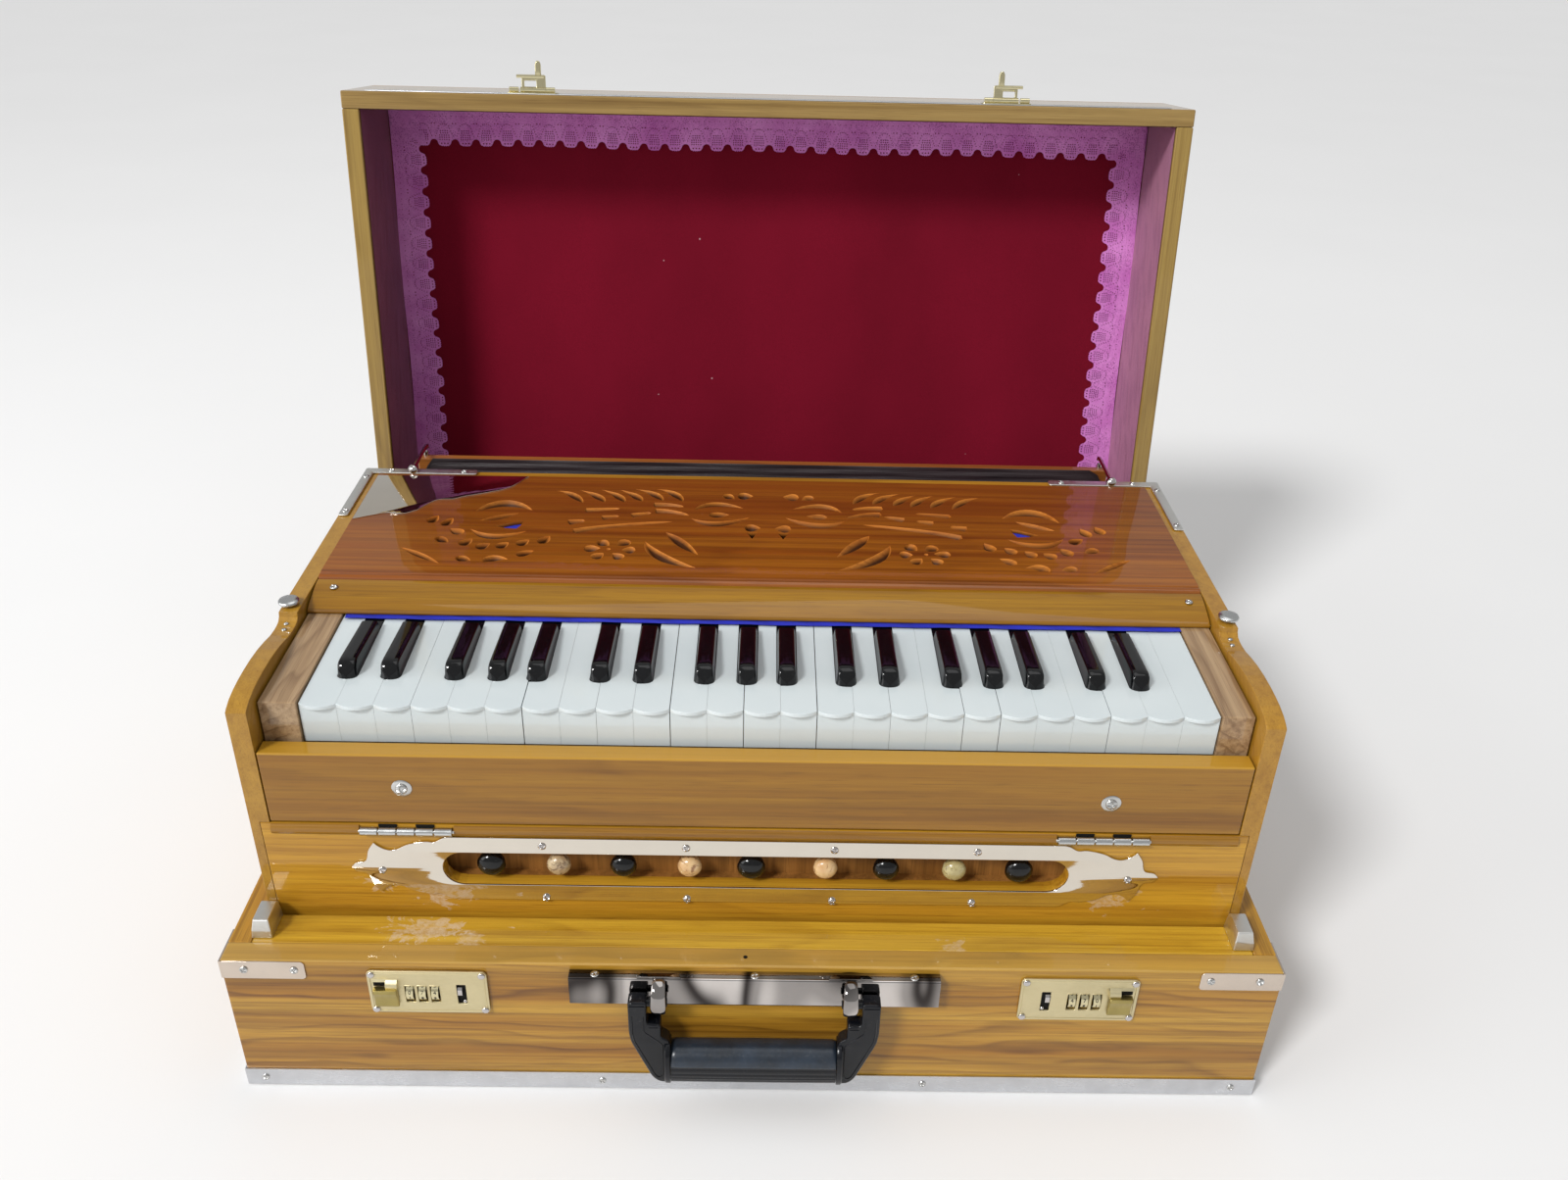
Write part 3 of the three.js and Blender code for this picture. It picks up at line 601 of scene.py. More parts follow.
# painted light: a lighter copy of the same plum satin, standing in for the light the right wall catches
SATIN_PAINTED_LIT = weave("satin_plum_painted_lit", ((150, 100, 122), (170, 116, 136), (96, 54, 78)), 1100.0, 0.35, (226, 170, 200), 0.38, LID_X, spec=0.5)
LACE = lace_cloth()
FELT = weave("felt_blue", ((26, 34, 168), (36, 46, 190), (14, 18, 100)), 700.0, 0.5, (150, 160, 255), 0.9)
CLOTH = weave("bellows_cloth", ((34, 22, 26), (48, 32, 36), (12, 7, 10)), 800.0, 0.1, (120, 90, 110), 0.42, spec=0.4)
CHROME = metal("chrome", (202, 198, 196), 0.05)
# painted reflection: the channel's chrome carries dark bands in its colour
CHROME_W = metal("chrome_channel", (216, 210, 206), 0.03, wavy=(16.0, 0.0008))
ALU = metal("bright_strip", (212, 213, 216), 0.2, brushed=(8, 300, 300), grime=0.2)
PLATE_M = metal("corner_plate_metal", (214, 200, 186), 0.07, grime=0.15)
MIRROR = metal("mirror_plate", (224, 216, 203), 0.02, grime=0.06, dents=0.03)
SATIN_CHROME = metal("satin_chrome", (206, 208, 208), 0.16, grime=0.2, dents=0.2)
BRIGHT = metal("bright_steel", (226, 226, 222), 0.24, brushed=(60, 60, 500), grime=0.15, dents=0.15)
BRASS = metal("brass_satin", (216, 204, 164), 0.3, brushed=(30, 500, 120), grime=0.1)
BUTTON = metal("brass_button", (176, 160, 100), 0.22, brushed=(500, 60, 30), grime=0.35)
BRASS_POL = metal("brass_polished", (222, 212, 172), 0.1)
STEEL = metal("screw_steel", (206, 206, 204), 0.14, grime=0.3)
BLACKP = plain("black_plastic", (11, 13, 18), 0.2, 0.32, 1500.0, 0.2, dust=0.04)
GRIP = plain("grip_leather", (26, 36, 48), 0.34, 0.6, 700.0, 0.6, 0.25, dist=0.00015, dust=0.05)
SHARP = plain("sharp_black", (6, 7, 9), 0.05, 0.42, 300.0, 0.04, coat=0.0, dust=0.02)
KNOB_BLACK = plain("knob_black", (5, 6, 7), 0.14, 0.35, 500.0, 0.08, coat=0.15, dust=0.02)
# painted shade: a near-black material for recesses, holes and gaps, standing in for the shadow in them
PAINTED_SHADE = plain("painted_shade_dark", (10, 9, 8), 0.7, 0.2)
INK = plain("dial_ink", (34, 32, 28), 0.5, 0.3)


def acrylic():
    m = Mat("key_acrylic", Roughness=0.12)
    P = m.coord()
    n = m.noise(P, 16.0, 2.0, 0.5)
    f = m.noise(P, 900.0, 3.0, 0.7)
    c = m.mix(m.ramp(n, [(0.3, 0.0), (0.7, 1.0)]), lin(204, 213, 215), lin(210, 218, 219))
    c = m.mix(m.ramp(f, [(0.66, 0.0), (0.8, 0.25)]), c, lin(180, 184, 184))
    m.set("Base Color", c)
    m.set("Roughness", m.ramp(m.noise(P, 120.0, 4.0, 0.7), [(0.3, 0.08), (0.75, 0.2)]))
    m.set("Normal", m.bump(m.noise(P, 90.0, 1.0), 0.0001, 0.08))
    m.b.inputs["Subsurface Weight"].default_value = 0.25
    m.b.inputs["Subsurface Radius"].default_value = (1.0, 1.0, 1.0)
    m.b.inputs["Subsurface Scale"].default_value = 0.002
    m.b.inputs["Coat Weight"].default_value = 0.6
    m.b.inputs["Coat Roughness"].default_value = 0.04
    return m.m


ACRYLIC = acrylic()


def horn(name, a, b, dark, scale=120.0):
    m = Mat(name, Roughness=0.25)
    P = m.coord()
    n = m.noise(m.vm("MULTIPLY", P, (1, 0.4, 1)), scale, 4.0, 0.6, dist=1.2)
    c = m.mix(m.ramp(n, [(0.3, 0.0), (0.7, 1.0)]), lin(*a), lin(*b))
    c = m.mix(m.ramp(m.noise(P, scale * 1.7, 3.0, 0.6, dist=2.0), [(0.56, 0.0), (0.66, 0.8)]), c, lin(*dark))
    m.set("Base Color", c)
    m.set("Normal", m.bump(n, 0.0001, 0.15))
    m.b.inputs["Coat Weight"].default_value = 0.5
    m.b.inputs["Coat Roughness"].default_value = 0.08
    return m.m


BONE = horn("knob_bone", (206, 186, 148), (150, 118, 82), (84, 58, 38), 70.0)
IVORY = horn("knob_ivory", (226, 196, 146), (196, 150, 100), (122, 76, 40), 60.0)
OLIVE = horn("knob_olive", (188, 176, 128), (158, 142, 92), (96, 80, 50))


# ------------------------------------------------------------------ screws and the like
def g_dome(r, h, seg=24, cross=True):
    """A domed screw head about z, its underside at z 0, with a cross recess pressed in."""
    rings = [1.0, 0.98, 0.92, 0.82, 0.7, 0.56, 0.42, 0.28, 0.14]
    v, f = [], []
    v += [(r * math.cos(2 * math.pi * i / seg), r * math.sin(2 * math.pi * i / seg), 0) for i in range(seg)]
    for k in rings:
        for i in range(seg):
            a = 2 * math.pi * i / seg
            x, y = r * k * math.cos(a), r * k * math.sin(a)
            z = h * (0.35 + 0.65 * math.sqrt(max(0, 1 - k * k)))
            if cross and k < 0.75 and (abs(x) < 0.13 * r or abs(y) < 0.13 * r):
                z -= 0.4 * h
            v.append((x, y, z))
    v.append((0, 0, h * (0.6 if cross else 1.0)))
    n = len(rings) + 1
    for k in range(n - 1):
        f += [(k * seg + i, k * seg + (i + 1) % seg, (k + 1) * seg + (i + 1) % seg, (k + 1) * seg + i) for i in range(seg)]
    f += [((n - 1) * seg + i, (n - 1) * seg + (i + 1) % seg, len(v) - 1) for i in range(seg)]
    f.append(list(range(seg))[::-1])
    return v, f


def screws(name, where, r, h, mat, body, facing="up", lid=False, cross=True, washer=0.0, slot=None):
    g = Geo()
    for i, p in enumerate(where):
        turn = Matrix.Rotation(rnd.uniform(0, 3.14), 4, "Z")
        base = {"up": Matrix.Identity(4), "front": Matrix.Rotation(math.pi / 2, 4, "X"), "left": Matrix.Rotation(-math.pi / 2, 4, "Y"), "right": Matrix.Rotation(math.pi / 2, 4, "Y"), "back": Matrix.Rotation(-math.pi / 2, 4, "X"), "down": Matrix.Rotation(math.pi, 4, "X")}[facing]
        T = Matrix.Translation(p) @ base @ turn
        if washer:
            g.add(g_lathe([(0, 0), (washer, 0), (washer, 0.35), (washer * 0.9, 0.75), (r * 0.9, 0.85), (0, 0.85)], 28), 0, T)
            T = T @ Matrix.Translation((0, 0, 0.7))
        g.add(g_dome(r, h, 24, cross), 0, T)
    return put(name, g, mat, body, slot=slot, lid=lid, sharp=50)


# ------------------------------------------------------------------ base of the case
dress("base_floor", RAW, 0.6)
dress("base_front_wall", TEAK_FRONT, 1.1, 3)
board("rear_wall_board", "case_base", -320, 320, 401, 413, 0, 108, TEAK_CASE_X, rep="base_rear_wall", slot="teak")
board("left_wall_board", "case_base", -320, -306, 14.8, 400.7, 0, 108, TEAK_CASE_Y, rep="base_left_wall", slot="teak")
board("right_wall_board", "case_base", 306, 320, 14.8, 400.7, 0, 108, TEAK_CASE_Y, rep="base_right_wall", slot="teak")
board("ledge_board", "case_base", -305.7, 305.7, 14.8, 38.5, 96, 108, TEAK_LEDGE, bevel=0.7, rep="base_ledge", slot="teak")
dress("base_trim_strip", ALU)

# corner plates folded over the front board's upper corners
for side, s in (("left", -1), ("right", 1)):
    g = Geo()
    o = fillet([(319.4, 93.6), (319.4, 107.6), (271.5, 107.6), (270, 106), (270, 95.2), (271.5, 93.6)], 1.2, 3)
    g.add(front(g_plate([(s * x, z) for x, z in (o if s > 0 else o[::-1])], (), 0.7, 0.2), -0.45))
    g.add(g_box(min(s * 319.3, s * 320.8), max(s * 319.3, s * 320.8), -0.75, 26, 93.8, 107.5))
    put("corner_plate_" + side, g, PLATE_M, "case_base", bevel=0.15, seg=2, sharp=45)
    screws("corner_plate_screws_" + side, [(s * 306.4, -0.8, 101), (s * 276.4, -0.8, 101)], 2.5, 1.4, STEEL, "case_base", "front")
screws("foot_strip_screws", [(x, -1.1, 7) for x in (-309, -96, 108, 306)], 2.4, 1.2, STEEL, "case_base", "front")
screws("foot_strip_screws_left", [(-320.2, y, 7) for y in (60, 206, 350)], 2.4, 1.0, STEEL, "case_base", "left")
screws("foot_strip_screws_right", [(320.2, y, 7) for y in (60, 206, 350)], 2.4, 1.0, STEEL, "case_base", "right")
# painted shade: a thin dark disc on the ledge stands in for a nail hole
put("nail_hole", g_lathe([(0, 0), (1.3, 0), (1.3, 0.12), (0, 0.12)], 16, "z", (-6, 7.5, 108)), PAINTED_SHADE, "case_base")

# hinge leaves of the lid
dress("lid_hinge_base_leaf", ALU)
dress("lid_hinge_lid_leaf", ALU)
screws("hinge_screws_base", [(x, 405, 108.5) for x in range(-275, 300, 110)], 2.2, 0.25, STEEL, "case_base")

# ------------------------------------------------------------------ locks
def seg_digit(d):
    return {"0": "abcdef", "1": "bc", "2": "abged", "3": "abgcd", "4": "fgbc", "5": "afgcd", "6": "afgedc", "7": "abc", "8": "abcdefg", "9": "abcdfg"}[d]


def digit_mesh(d):
    """A plain numeral as a mesh in XY, 1 high, centred."""
    cu = bpy.data.curves.new("tmp", "FONT")
    cu.body = d
    cu.size = 1.4
    cu.align_x = "CENTER"
    cu.align_y = "CENTER"
    cu.extrude = 0.04
    cu.resolution_u = 3
    ob = bpy.data.objects.new("tmp", cu)
    scene.collection.objects.link(ob)
    dg = bpy.context.evaluated_depsgraph_get()
    me = bpy.data.meshes.new_from_object(ob.evaluated_get(dg))
    v = [tuple(x.co) for x in me.vertices]
    f = [list(p.vertices) for p in me.polygons]
    bpy.data.meshes.remove(me)
    bpy.data.objects.remove(ob)
    bpy.data.curves.remove(cu)
    return v, f


DIGITS = [digit_mesh(str(i)) for i in range(10)]

for side, s in (("left", -1), ("right", 1)):
    c = "lock_plate_" + side
    wheels = [193.6, 201.2, 208.8]
    X = lambda a, b: (min(s * a, s * b), max(s * a, s * b))
    holes = [rrect(*X(w - 2.8, w + 2.8), 76.4, 90, 0.4, 2) for w in wheels]
    holes.append(rrect(*X(174.8, 180.4), 75.4, 91.2, 0.4, 2))
    g = Geo()
    g.add(front(g_plate(rrect(*X(161.5, 233.5), 67.5, 102, 3.2, 6), [h[::-1] for h in holes], 1.5, 0.35), -1.15))
    # a pressed line inside the edge, and a raised lip round each window
    b = rrect(*X(163.2, 231.8), 69.2, 100.3, 2.4, 6)
    g.add(g_tube([(x, -1.95, z) for x, z in b + b[:1]], 0.28, 6, False))
    for w in wheels:
        b = rrect(*X(w - 3.1, w + 3.1), 76.1, 90.3, 0.6, 2)
        g.add(g_tube([(x, -1.85, z) for x, z in b + b[:1]], 0.22, 6, False))
    # hood over the thumb button, open in front on the outer side
    g.add(g_prism("x", fillet([(-1.9, 88.6), (-4.4, 88.8), (-4.9, 91.0), (-4.2, 93.2), (-1.9, 95.4)], [0, 0.5, 0.9, 0.9, 0], 3), *X(215.4, 222.4)))
    g.add(g_prism("x", [(-1.9, 93.6), (-2.9, 94.0), (-1.9, 95.6)], *X(215.4, 230.4)))
    put("brass_plate_" + side, g, BRASS, "case_base", "brass", rep=c, sharp=40)
    # painted shade: dark sheets behind the windows and the slot, and in the recess over the thumb button, stand in for
    # the shadow inside the lock
    put("lock_pocket_" + side, g_box(*X(182.0, 213.2), 11.2, 11.4, 74.3, 91.7), PAINTED_SHADE, "case_base", bevel=0.05)
    put("lock_slot_back_" + side, g_box(*X(173.4, 181.8), -0.36, -0.28, 74.4, 92.2), PAINTED_SHADE, "case_base", bevel=0.02)
    put("lock_recess_" + side, g_box(*X(222.4, 230.0), -2.02, -1.93, 90.0, 93.6), PAINTED_SHADE, "case_base", bevel=0.04)
    put("lock_bolt_" + side, g_prism("x", fillet([(-0.4, 81.4), (-1.2, 81.4), (-2.2, 82.8), (-2.2, 86.6), (-1.2, 88.4), (-0.4, 88.4)], 0.4, 3), *X(177.2, 180.0)), CHROME, "case_base", bevel=0.3)
    put("lock_pin_" + side, g_lathe([(0, -2.1), (0.9, -1.9), (1.3, -1.3), (1.3, -0.4), (0, -0.4)], 16, "y", (s * 176.2, 0, 77.0)), CHROME, "case_base", sharp=50)
    screws("lock_rivets_" + side, [(s * x, -1.9, z) for x in (164.4, 230.6) for z in (99.2, 70.4)], 2.3, 1.6, CHROME, "case_base", "front", cross=False)
    # dials: ten flats with plain numbers
    g = Geo()
    g.add(g_tube([(s * 190.5, 3.6, 83.2), (s * 212, 3.6, 83.2)], 1.6, 12))
    for j, w in enumerate(wheels):
        prof = []
        for k in range(10):
            a = math.radians(36 * k)
            for da in (-15.5, 15.5):
                prof.append((3.6 - 7.15 * math.cos(a + math.radians(18 + da)), 83.2 + 7.15 * math.sin(a + math.radians(18 + da))))
        g.add(g_prism("x", prof, *X(w - 2.1, w + 2.1)))
        for k in range(10):
            a = math.radians(36 * k + 18)
            T = Matrix.Translation((s * w, 3.6 - 6.93 * math.cos(a), 83.2 + 6.93 * math.sin(a))) @ Matrix.Rotation(math.pi / 2 - a, 4, "X") @ Matrix.Scale(2.6, 4)
            g.add(DIGITS[(3 * j + 4 - k) % 10], 1, T)
    put("dials_" + side, g, [BRASS_POL, INK], "lock_dials_" + side, "brass", rep="lock_dials_" + side, bevel=0.12, seg=1, angle=25)
    # thumb button: a block with a hollowed face and rounded top
    n, rings = 14, []
    for i in range(n + 1):
        t = i / n
        z = 74.8 + 15.0 * t
        d = -5.2 - 2.4 * t ** 1.6 + 0.9 * math.sin(math.pi * t)
        if t > 0.86:
            d += (t - 0.86) * 9
        if t < 0.08:
            d += (0.08 - t) * 10
        rings.append([(s * 222.8 + x, y, z) for x, y in fillet([(-7.1, -2.5), (-7.1, d), (7.1, d), (7.1, -2.5)], [0, 1.1, 1.1, 0], 4)])
    put("thumb_button_" + side, g_loft(rings), BUTTON, "lock_button_" + side, "brass", rep="lock_button_" + side, bevel=0.25, sharp=45)

# ------------------------------------------------------------------ handle
c = -7.5
chan = fillet([(-0.3, 104), (c, 104), (c, 82.5), (-0.3, 82.5), (-0.3, 83.7), (c + 1.2, 83.7), (c + 1.2, 102.8), (-0.3, 102.8)], [0, 1.3, 1.3, 0, 0, 0.5, 0.5, 0], 4)
g = Geo().add(g_prism("x", chan, -111.5, 111.5))
for e in (-57.5, 57.5):
    # bowed strap: a flattened bar bent out over the pin
    bow = [(-6.6, 103), (-9.4, 102.9), (-12.4, 101.6), (-14.8, 99.2), (-16.4, 95.6), (-16.9, 91.4), (-16.6, 87.6), (-15.2, 84.2), (-12.9, 81.7), (-9.8, 80.5), (-6.6, 80.4)]
    rings = []
    for i, (y, z) in enumerate(bow):
        a, b = bow[max(i - 1, 0)], bow[min(i + 1, len(bow) - 1)]
        ty, tz = b[0] - a[0], b[1] - a[1]
        L = math.hypot(ty, tz)
        ny, nz = tz / L, -ty / L
        w = 4.7 - 0.9 * abs(i - 5) / 5
        ring = []
        for k in range(16):
            q = 2 * math.pi * k / 16
            cx, cz = math.cos(q), math.sin(q)
            ring.append((e + w * math.copysign(abs(cx) ** 0.7, cx), y + ny * 1.25 * cz, z + nz * 1.25 * cz))
        rings.append(ring)
    g.add(g_loft(rings))
    fl = [(e + 13.2 * math.cos(math.pi * k / 20), -6.9 + 6.3 * math.sin(math.pi * k / 20)) for k in range(21)]
    g.add(flat(g_plate(fillet(fl, 0.2, 1), (), 1.2, 0.4, 2), 104.6))
put("channel", g, CHROME_W, "case_base", "chrome", rep="handle_channel", bevel=0.12, seg=2, sharp=40)
screws("channel_rivets", [(x, -3.8, 104.0) for x in (-96, 0, 96)], 2.6, 0.8, STEEL, "case_base")

g = Geo()
HY, HZ = -13.4, 91
for s in (-1, 1):
    arm = fillet([(75.6, 70), (75.6, 94.2), (73.6, 95.1), (64.6, 95.1), (64.6, 77.6), (56.2, 76.4), (56.2, 66), (51.2, 62.5), (51.2, 29), (53.4, 26.4), (58.5, 27), (62.4, 31), (74.6, 62)], [5, 1.2, 1, 1.2, 1.5, 1.5, 1.5, 3, 1.5, 2, 3, 4, 4], 4)
    made = g_plate([(s * x, z) for x, z in (arm if s > 0 else arm[::-1])], (), 9.6, 1.2, 3)
    g.add(front(made, HY))
    # raised rim panel and the window block beside the strap
    rim = fillet([(73.4, 70), (73.4, 88), (66.6, 88), (66.6, 71), (58, 63), (55.4, 60), (55.4, 33), (58, 30.8), (60.4, 33), (72.4, 63)], 1.5, 3)
    b = [(s * x, HY - 4.75, z) for x, z in rim]
    g.add(g_tube(b + b[:1], 0.5, 6, False))
    g.add(g_box(min(s * 65.4, s * 74.8), max(s * 65.4, s * 74.8), HY - 5.2, HY + 4, 84.5, 92.5))
    g.add(g_box(min(s * 57.5, s * 63.2), max(s * 57.5, s * 63.2), HY - 5.1, HY + 3, 68.5, 74.6))
    g.add(g_tube([(s * 52.2, HY, HZ), (s * 66, HY, HZ)], 2.5, 16))
    # collar at the end of the grip
    g.add(g_loft([[(s * x, -14.8 + 10.7 * k * math.copysign(abs(math.cos(q)) ** 0.8, math.cos(q)), 44.2 + 16.6 * k * math.copysign(abs(math.sin(q)) ** 0.8, math.sin(q))) for q in [2 * math.pi * i / 32 for i in range(32)]] for x, k in ((50.7, 0.98), (51.2, 1.0), (53.4, 1.0), (54.2, 0.95))]))
g.add(g_tube([(-54, HY, 46.5), (54, HY, 46.5)], 4.8, 16))
put("handle_bail", g, BLACKP, "handle", "black_plastic", rep="handle_frame", bevel=0.35, seg=2, sharp=40)

# grip: a leather-like sleeve over the top and front, ribbed plastic under it
rings = []
N, K = 96, 180
for i in range(N + 1):
    x = -50.3 + 100.6 * i / N
    e = abs(x) / 50.3
    ring = []
    for k in range(K):
        a = 2 * math.pi * k / K
        cy, cz = math.cos(a), math.sin(a)
        r = 1.0
        sleeve = cz > -0.3 + 0.55 * (cy < 0)
        if sleeve:
            r += 0.008 * math.sin(x * 0.052 + 1.3) * math.sin(a + 0.8) + 0.004 * math.sin(x * 0.21 + 2.0 * a)
            r -= 0.06 * max(0, e - 0.965) / 0.035
            if abs(cz - (0.25 if cy < 0 else -0.3)) < 0.08:
                r -= 0.012
        else:
            r -= 0.055 + 0.03 * max(0.0, math.sin(a * 30)) - 0.012 * math.sin(math.pi * (x + 50.3) / 100.6)
        ring.append((x, -14.8 + 10.5 * r * math.copysign(abs(cy) ** 0.8, cy), 43 + 14.5 * r * math.copysign(abs(cz) ** 0.8, cz)))
    rings.append(ring)
g = Geo().add(g_loft(rings))
for i, f in enumerate(g.f[:-2]):
    k = i % K
    a = 2 * math.pi * (k + 0.5) / K
    g.m[i] = 0 if math.sin(a) > (0.25 if math.cos(a) < 0 else -0.3) else 1
put("grip_sleeve", g, [GRIP, BLACKP], "handle", "black_plastic", rep="handle_grip", sharp=50)

# ------------------------------------------------------------------ catches on the ledge
dress("body_catch_left", BRIGHT, 0.7, 3)
dress("body_catch_right", BRIGHT, 0.7, 3)

# ------------------------------------------------------------------ lid
g = dict(lid=True, slot="teak")
board("lid_front_board", "lid", -320, 320, 0, 12.7, 109.4, 189.1, TEAK_LID_X, 1.1, rep="lid_frame", **g)
board("lid_rear_board", "lid", -320, 320, 400.3, 413, 109.4, 189.1, TEAK_LID_X, 1.1, **g)
board("lid_left_board", "lid", -320, -307.3, 12.75, 400.25, 109.4, 189.1, TEAK_LID_Y, 1.1, **g)
board("lid_right_board", "lid", 307.3, 320, 12.75, 400.25, 109.4, 189.1, TEAK_LID_Y, 1.1, **g)
board("lid_top_panel", "lid", -320, 320, 0, 413, 189.4, 197.4, TEAK_LID_TOP, 1.4, rep="lid_panel", **g)
e = front(g_plate(rrect(-302, 302, 110.2, 121.6, 1.0, 3), (), 0.6, 0.2), -0.35)
put("lid_edge_strip", e, ALU, "lid", lid=True, slot="chrome")

# lining: velvet over the panel, satin on the four walls
def cloth(name, rect, mat, wavy):
    """rect maps (u, v) in 0..1 to a point; wavy is the height of slight waves along its normal."""
    nu, nv = 70, 44
    v = []
    for j in range(nv + 1):
        for i in range(nu + 1):
            u, w = i / nu, j / nv
            e = min(u, 1 - u, w, 1 - w) * 8
            e = min(1, e)
            h = wavy * e * (math.sin(u * 17 + 2 * math.sin(w * 5)) * math.sin(w * 11 + 1.3) + 0.6 * math.sin(u * 41 + w * 23))
            v.append(rect(u, w, h))
    f = [(j * (nu + 1) + i, j * (nu + 1) + i + 1, (j + 1) * (nu + 1) + i + 1, (j + 1) * (nu + 1) + i) for j in range(nv) for i in range(nu)]
    o = put(name, (v, f), mat, "lid", lid=True, orient=False)
    return o


cloth("velvet_lining", lambda u, v, h: (-306.8 + 613.6 * u, 13.2 + 386.6 * v, 188.9 - abs(h)), VELVET, 0.25)
cloth("side_lining_left", lambda u, v, h: (-306.9 + abs(h), 13.1 + 386.8 * u, 112 + 76.6 * v), SATIN, 0.2)
# painted light: the right wall's lining uses the lighter copy of the satin
cloth("side_lining_right", lambda u, v, h: (306.9 - abs(h), 13.1 + 386.8 * u, 112 + 76.6 * v), SATIN_PAINTED_LIT, 0.2)
cloth("side_lining_front", lambda u, v, h: (-306.4 + 612.8 * u, 13.1 + abs(h), 112 + 76.6 * v), SATIN, 0.2)
cloth("side_lining_rear", lambda u, v, h: (-306.4 + 612.8 * u, 399.9 - abs(h), 112 + 76.6 * v), SATIN, 0.2)


def lace_unit(width, pitch):
    """One scallop of the lace: s along the band from 0 to pitch, t from the wall to the tips."""
    k = width - 28
    tip = [(0, 22.4), (1.5, 22.7), (2.7, 23.9), (3.3, 25.7), (4.1, 27.0), (5.4, 27.3), (6.2, 27.9), (7.0, 27.4), (7.8, 28.0), (8.6, 27.5), (9.4, 28.0), (10.2, 27.4), (11.0, 27.8), (12.2, 27.0), (13.1, 25.7), (13.8, 23.9), (15.1, 22.7), (16.6, 22.4)]
    outline = [(0, 0), (pitch, 0)] + [(s * pitch / 16.6, t + k) for s, t in tip[::-1]]
    holes = []
    def hole(s, t, r, n=6):
        holes.append([(x * pitch / 16.6, y + k) for x, y in circle(s, t, r, n)][::-1])
    for s in (5.9, 8.3, 10.7):
        hole(s, 25.7, 0.62)
    for j, t in enumerate((16.0, 17.7, 19.4, 21.1, 22.8)):
        for i in range(5 if j > 1 else 4):
            s = 8.3 + (i - (2 if j > 1 else 1.5)) * 1.75
            hole(s, t, 0.5)
    # arches that run up between the scallops
    for q in range(4):
        hole(1.5 + q * 0.75, 20.0 - q * 1.9, 0.42)
        hole(15.1 - q * 0.75, 20.0 - q * 1.9, 0.42)
    hole(4.6, 12.3, 0.42)
    hole(12.0, 12.3, 0.42)
    for s in (6.2, 7.6, 9.0, 10.4):
        hole(s, 11.2 - 0.5 * (s in (7.6, 9.0)), 0.42)
    hole(1.2, 10.4, 0.55)
    hole(15.4, 10.4, 0.55)
    for s in (2.0, 6.2, 10.4, 14.6):
        hole(s, 5.0, 0.36)
    v, f = g_plate(outline, holes, 0, 0)
    return v, f


def lace_strip(name, length, width, place, units, area_k=1.0):
    pitch = length / units
    v, f = lace_unit(width, pitch)
    bm = bmesh.new()
    for n in range(units):
        idx = [bm.verts.new((p[0] + n * pitch, p[1], 0)) for p in v]
        for q in f:
            try:
                bm.faces.new([idx[i] for i in q])
            except ValueError:
                pass
    bmesh.ops.remove_doubles(bm, verts=bm.verts, dist=0.01)
    bm.verts.ensure_lookup_table()
    area = sum(q.calc_area() for q in bm.faces) * 1e-6
    verts = []
    for x in bm.verts:
        s, t = x.co.x, x.co.y
        h = 0.35 * (t / width) * (1 + math.sin(s * 0.19 + 0.7 * math.sin(s * 0.05))) + 0.12 * math.sin(s * 2 * math.pi / pitch)
        verts.append(place(s, t + 0.5 * math.sin(s * 0.037), h))
    faces = [[q.index for q in p.verts] for p in bm.faces]
    bm.free()
    o = put(name, (verts, faces), LACE, "lid", lid=True, orient=False)
    return o


lace_strip("lace_left", 384, 27.6, lambda s, t, h: (-306.6 + t, 14.0 + s, 188.3 - h - 0.3), 23)
lace_strip("lace_right", 384, 27.6, lambda s, t, h: (306.6 - t, 14.0 + s, 188.3 - h - 0.3), 23)
lace_strip("lace_top", 610, 30.4, lambda s, t, h: (-305.0 + s, 13.9 + t, 187.4 - h - 0.3), 36)

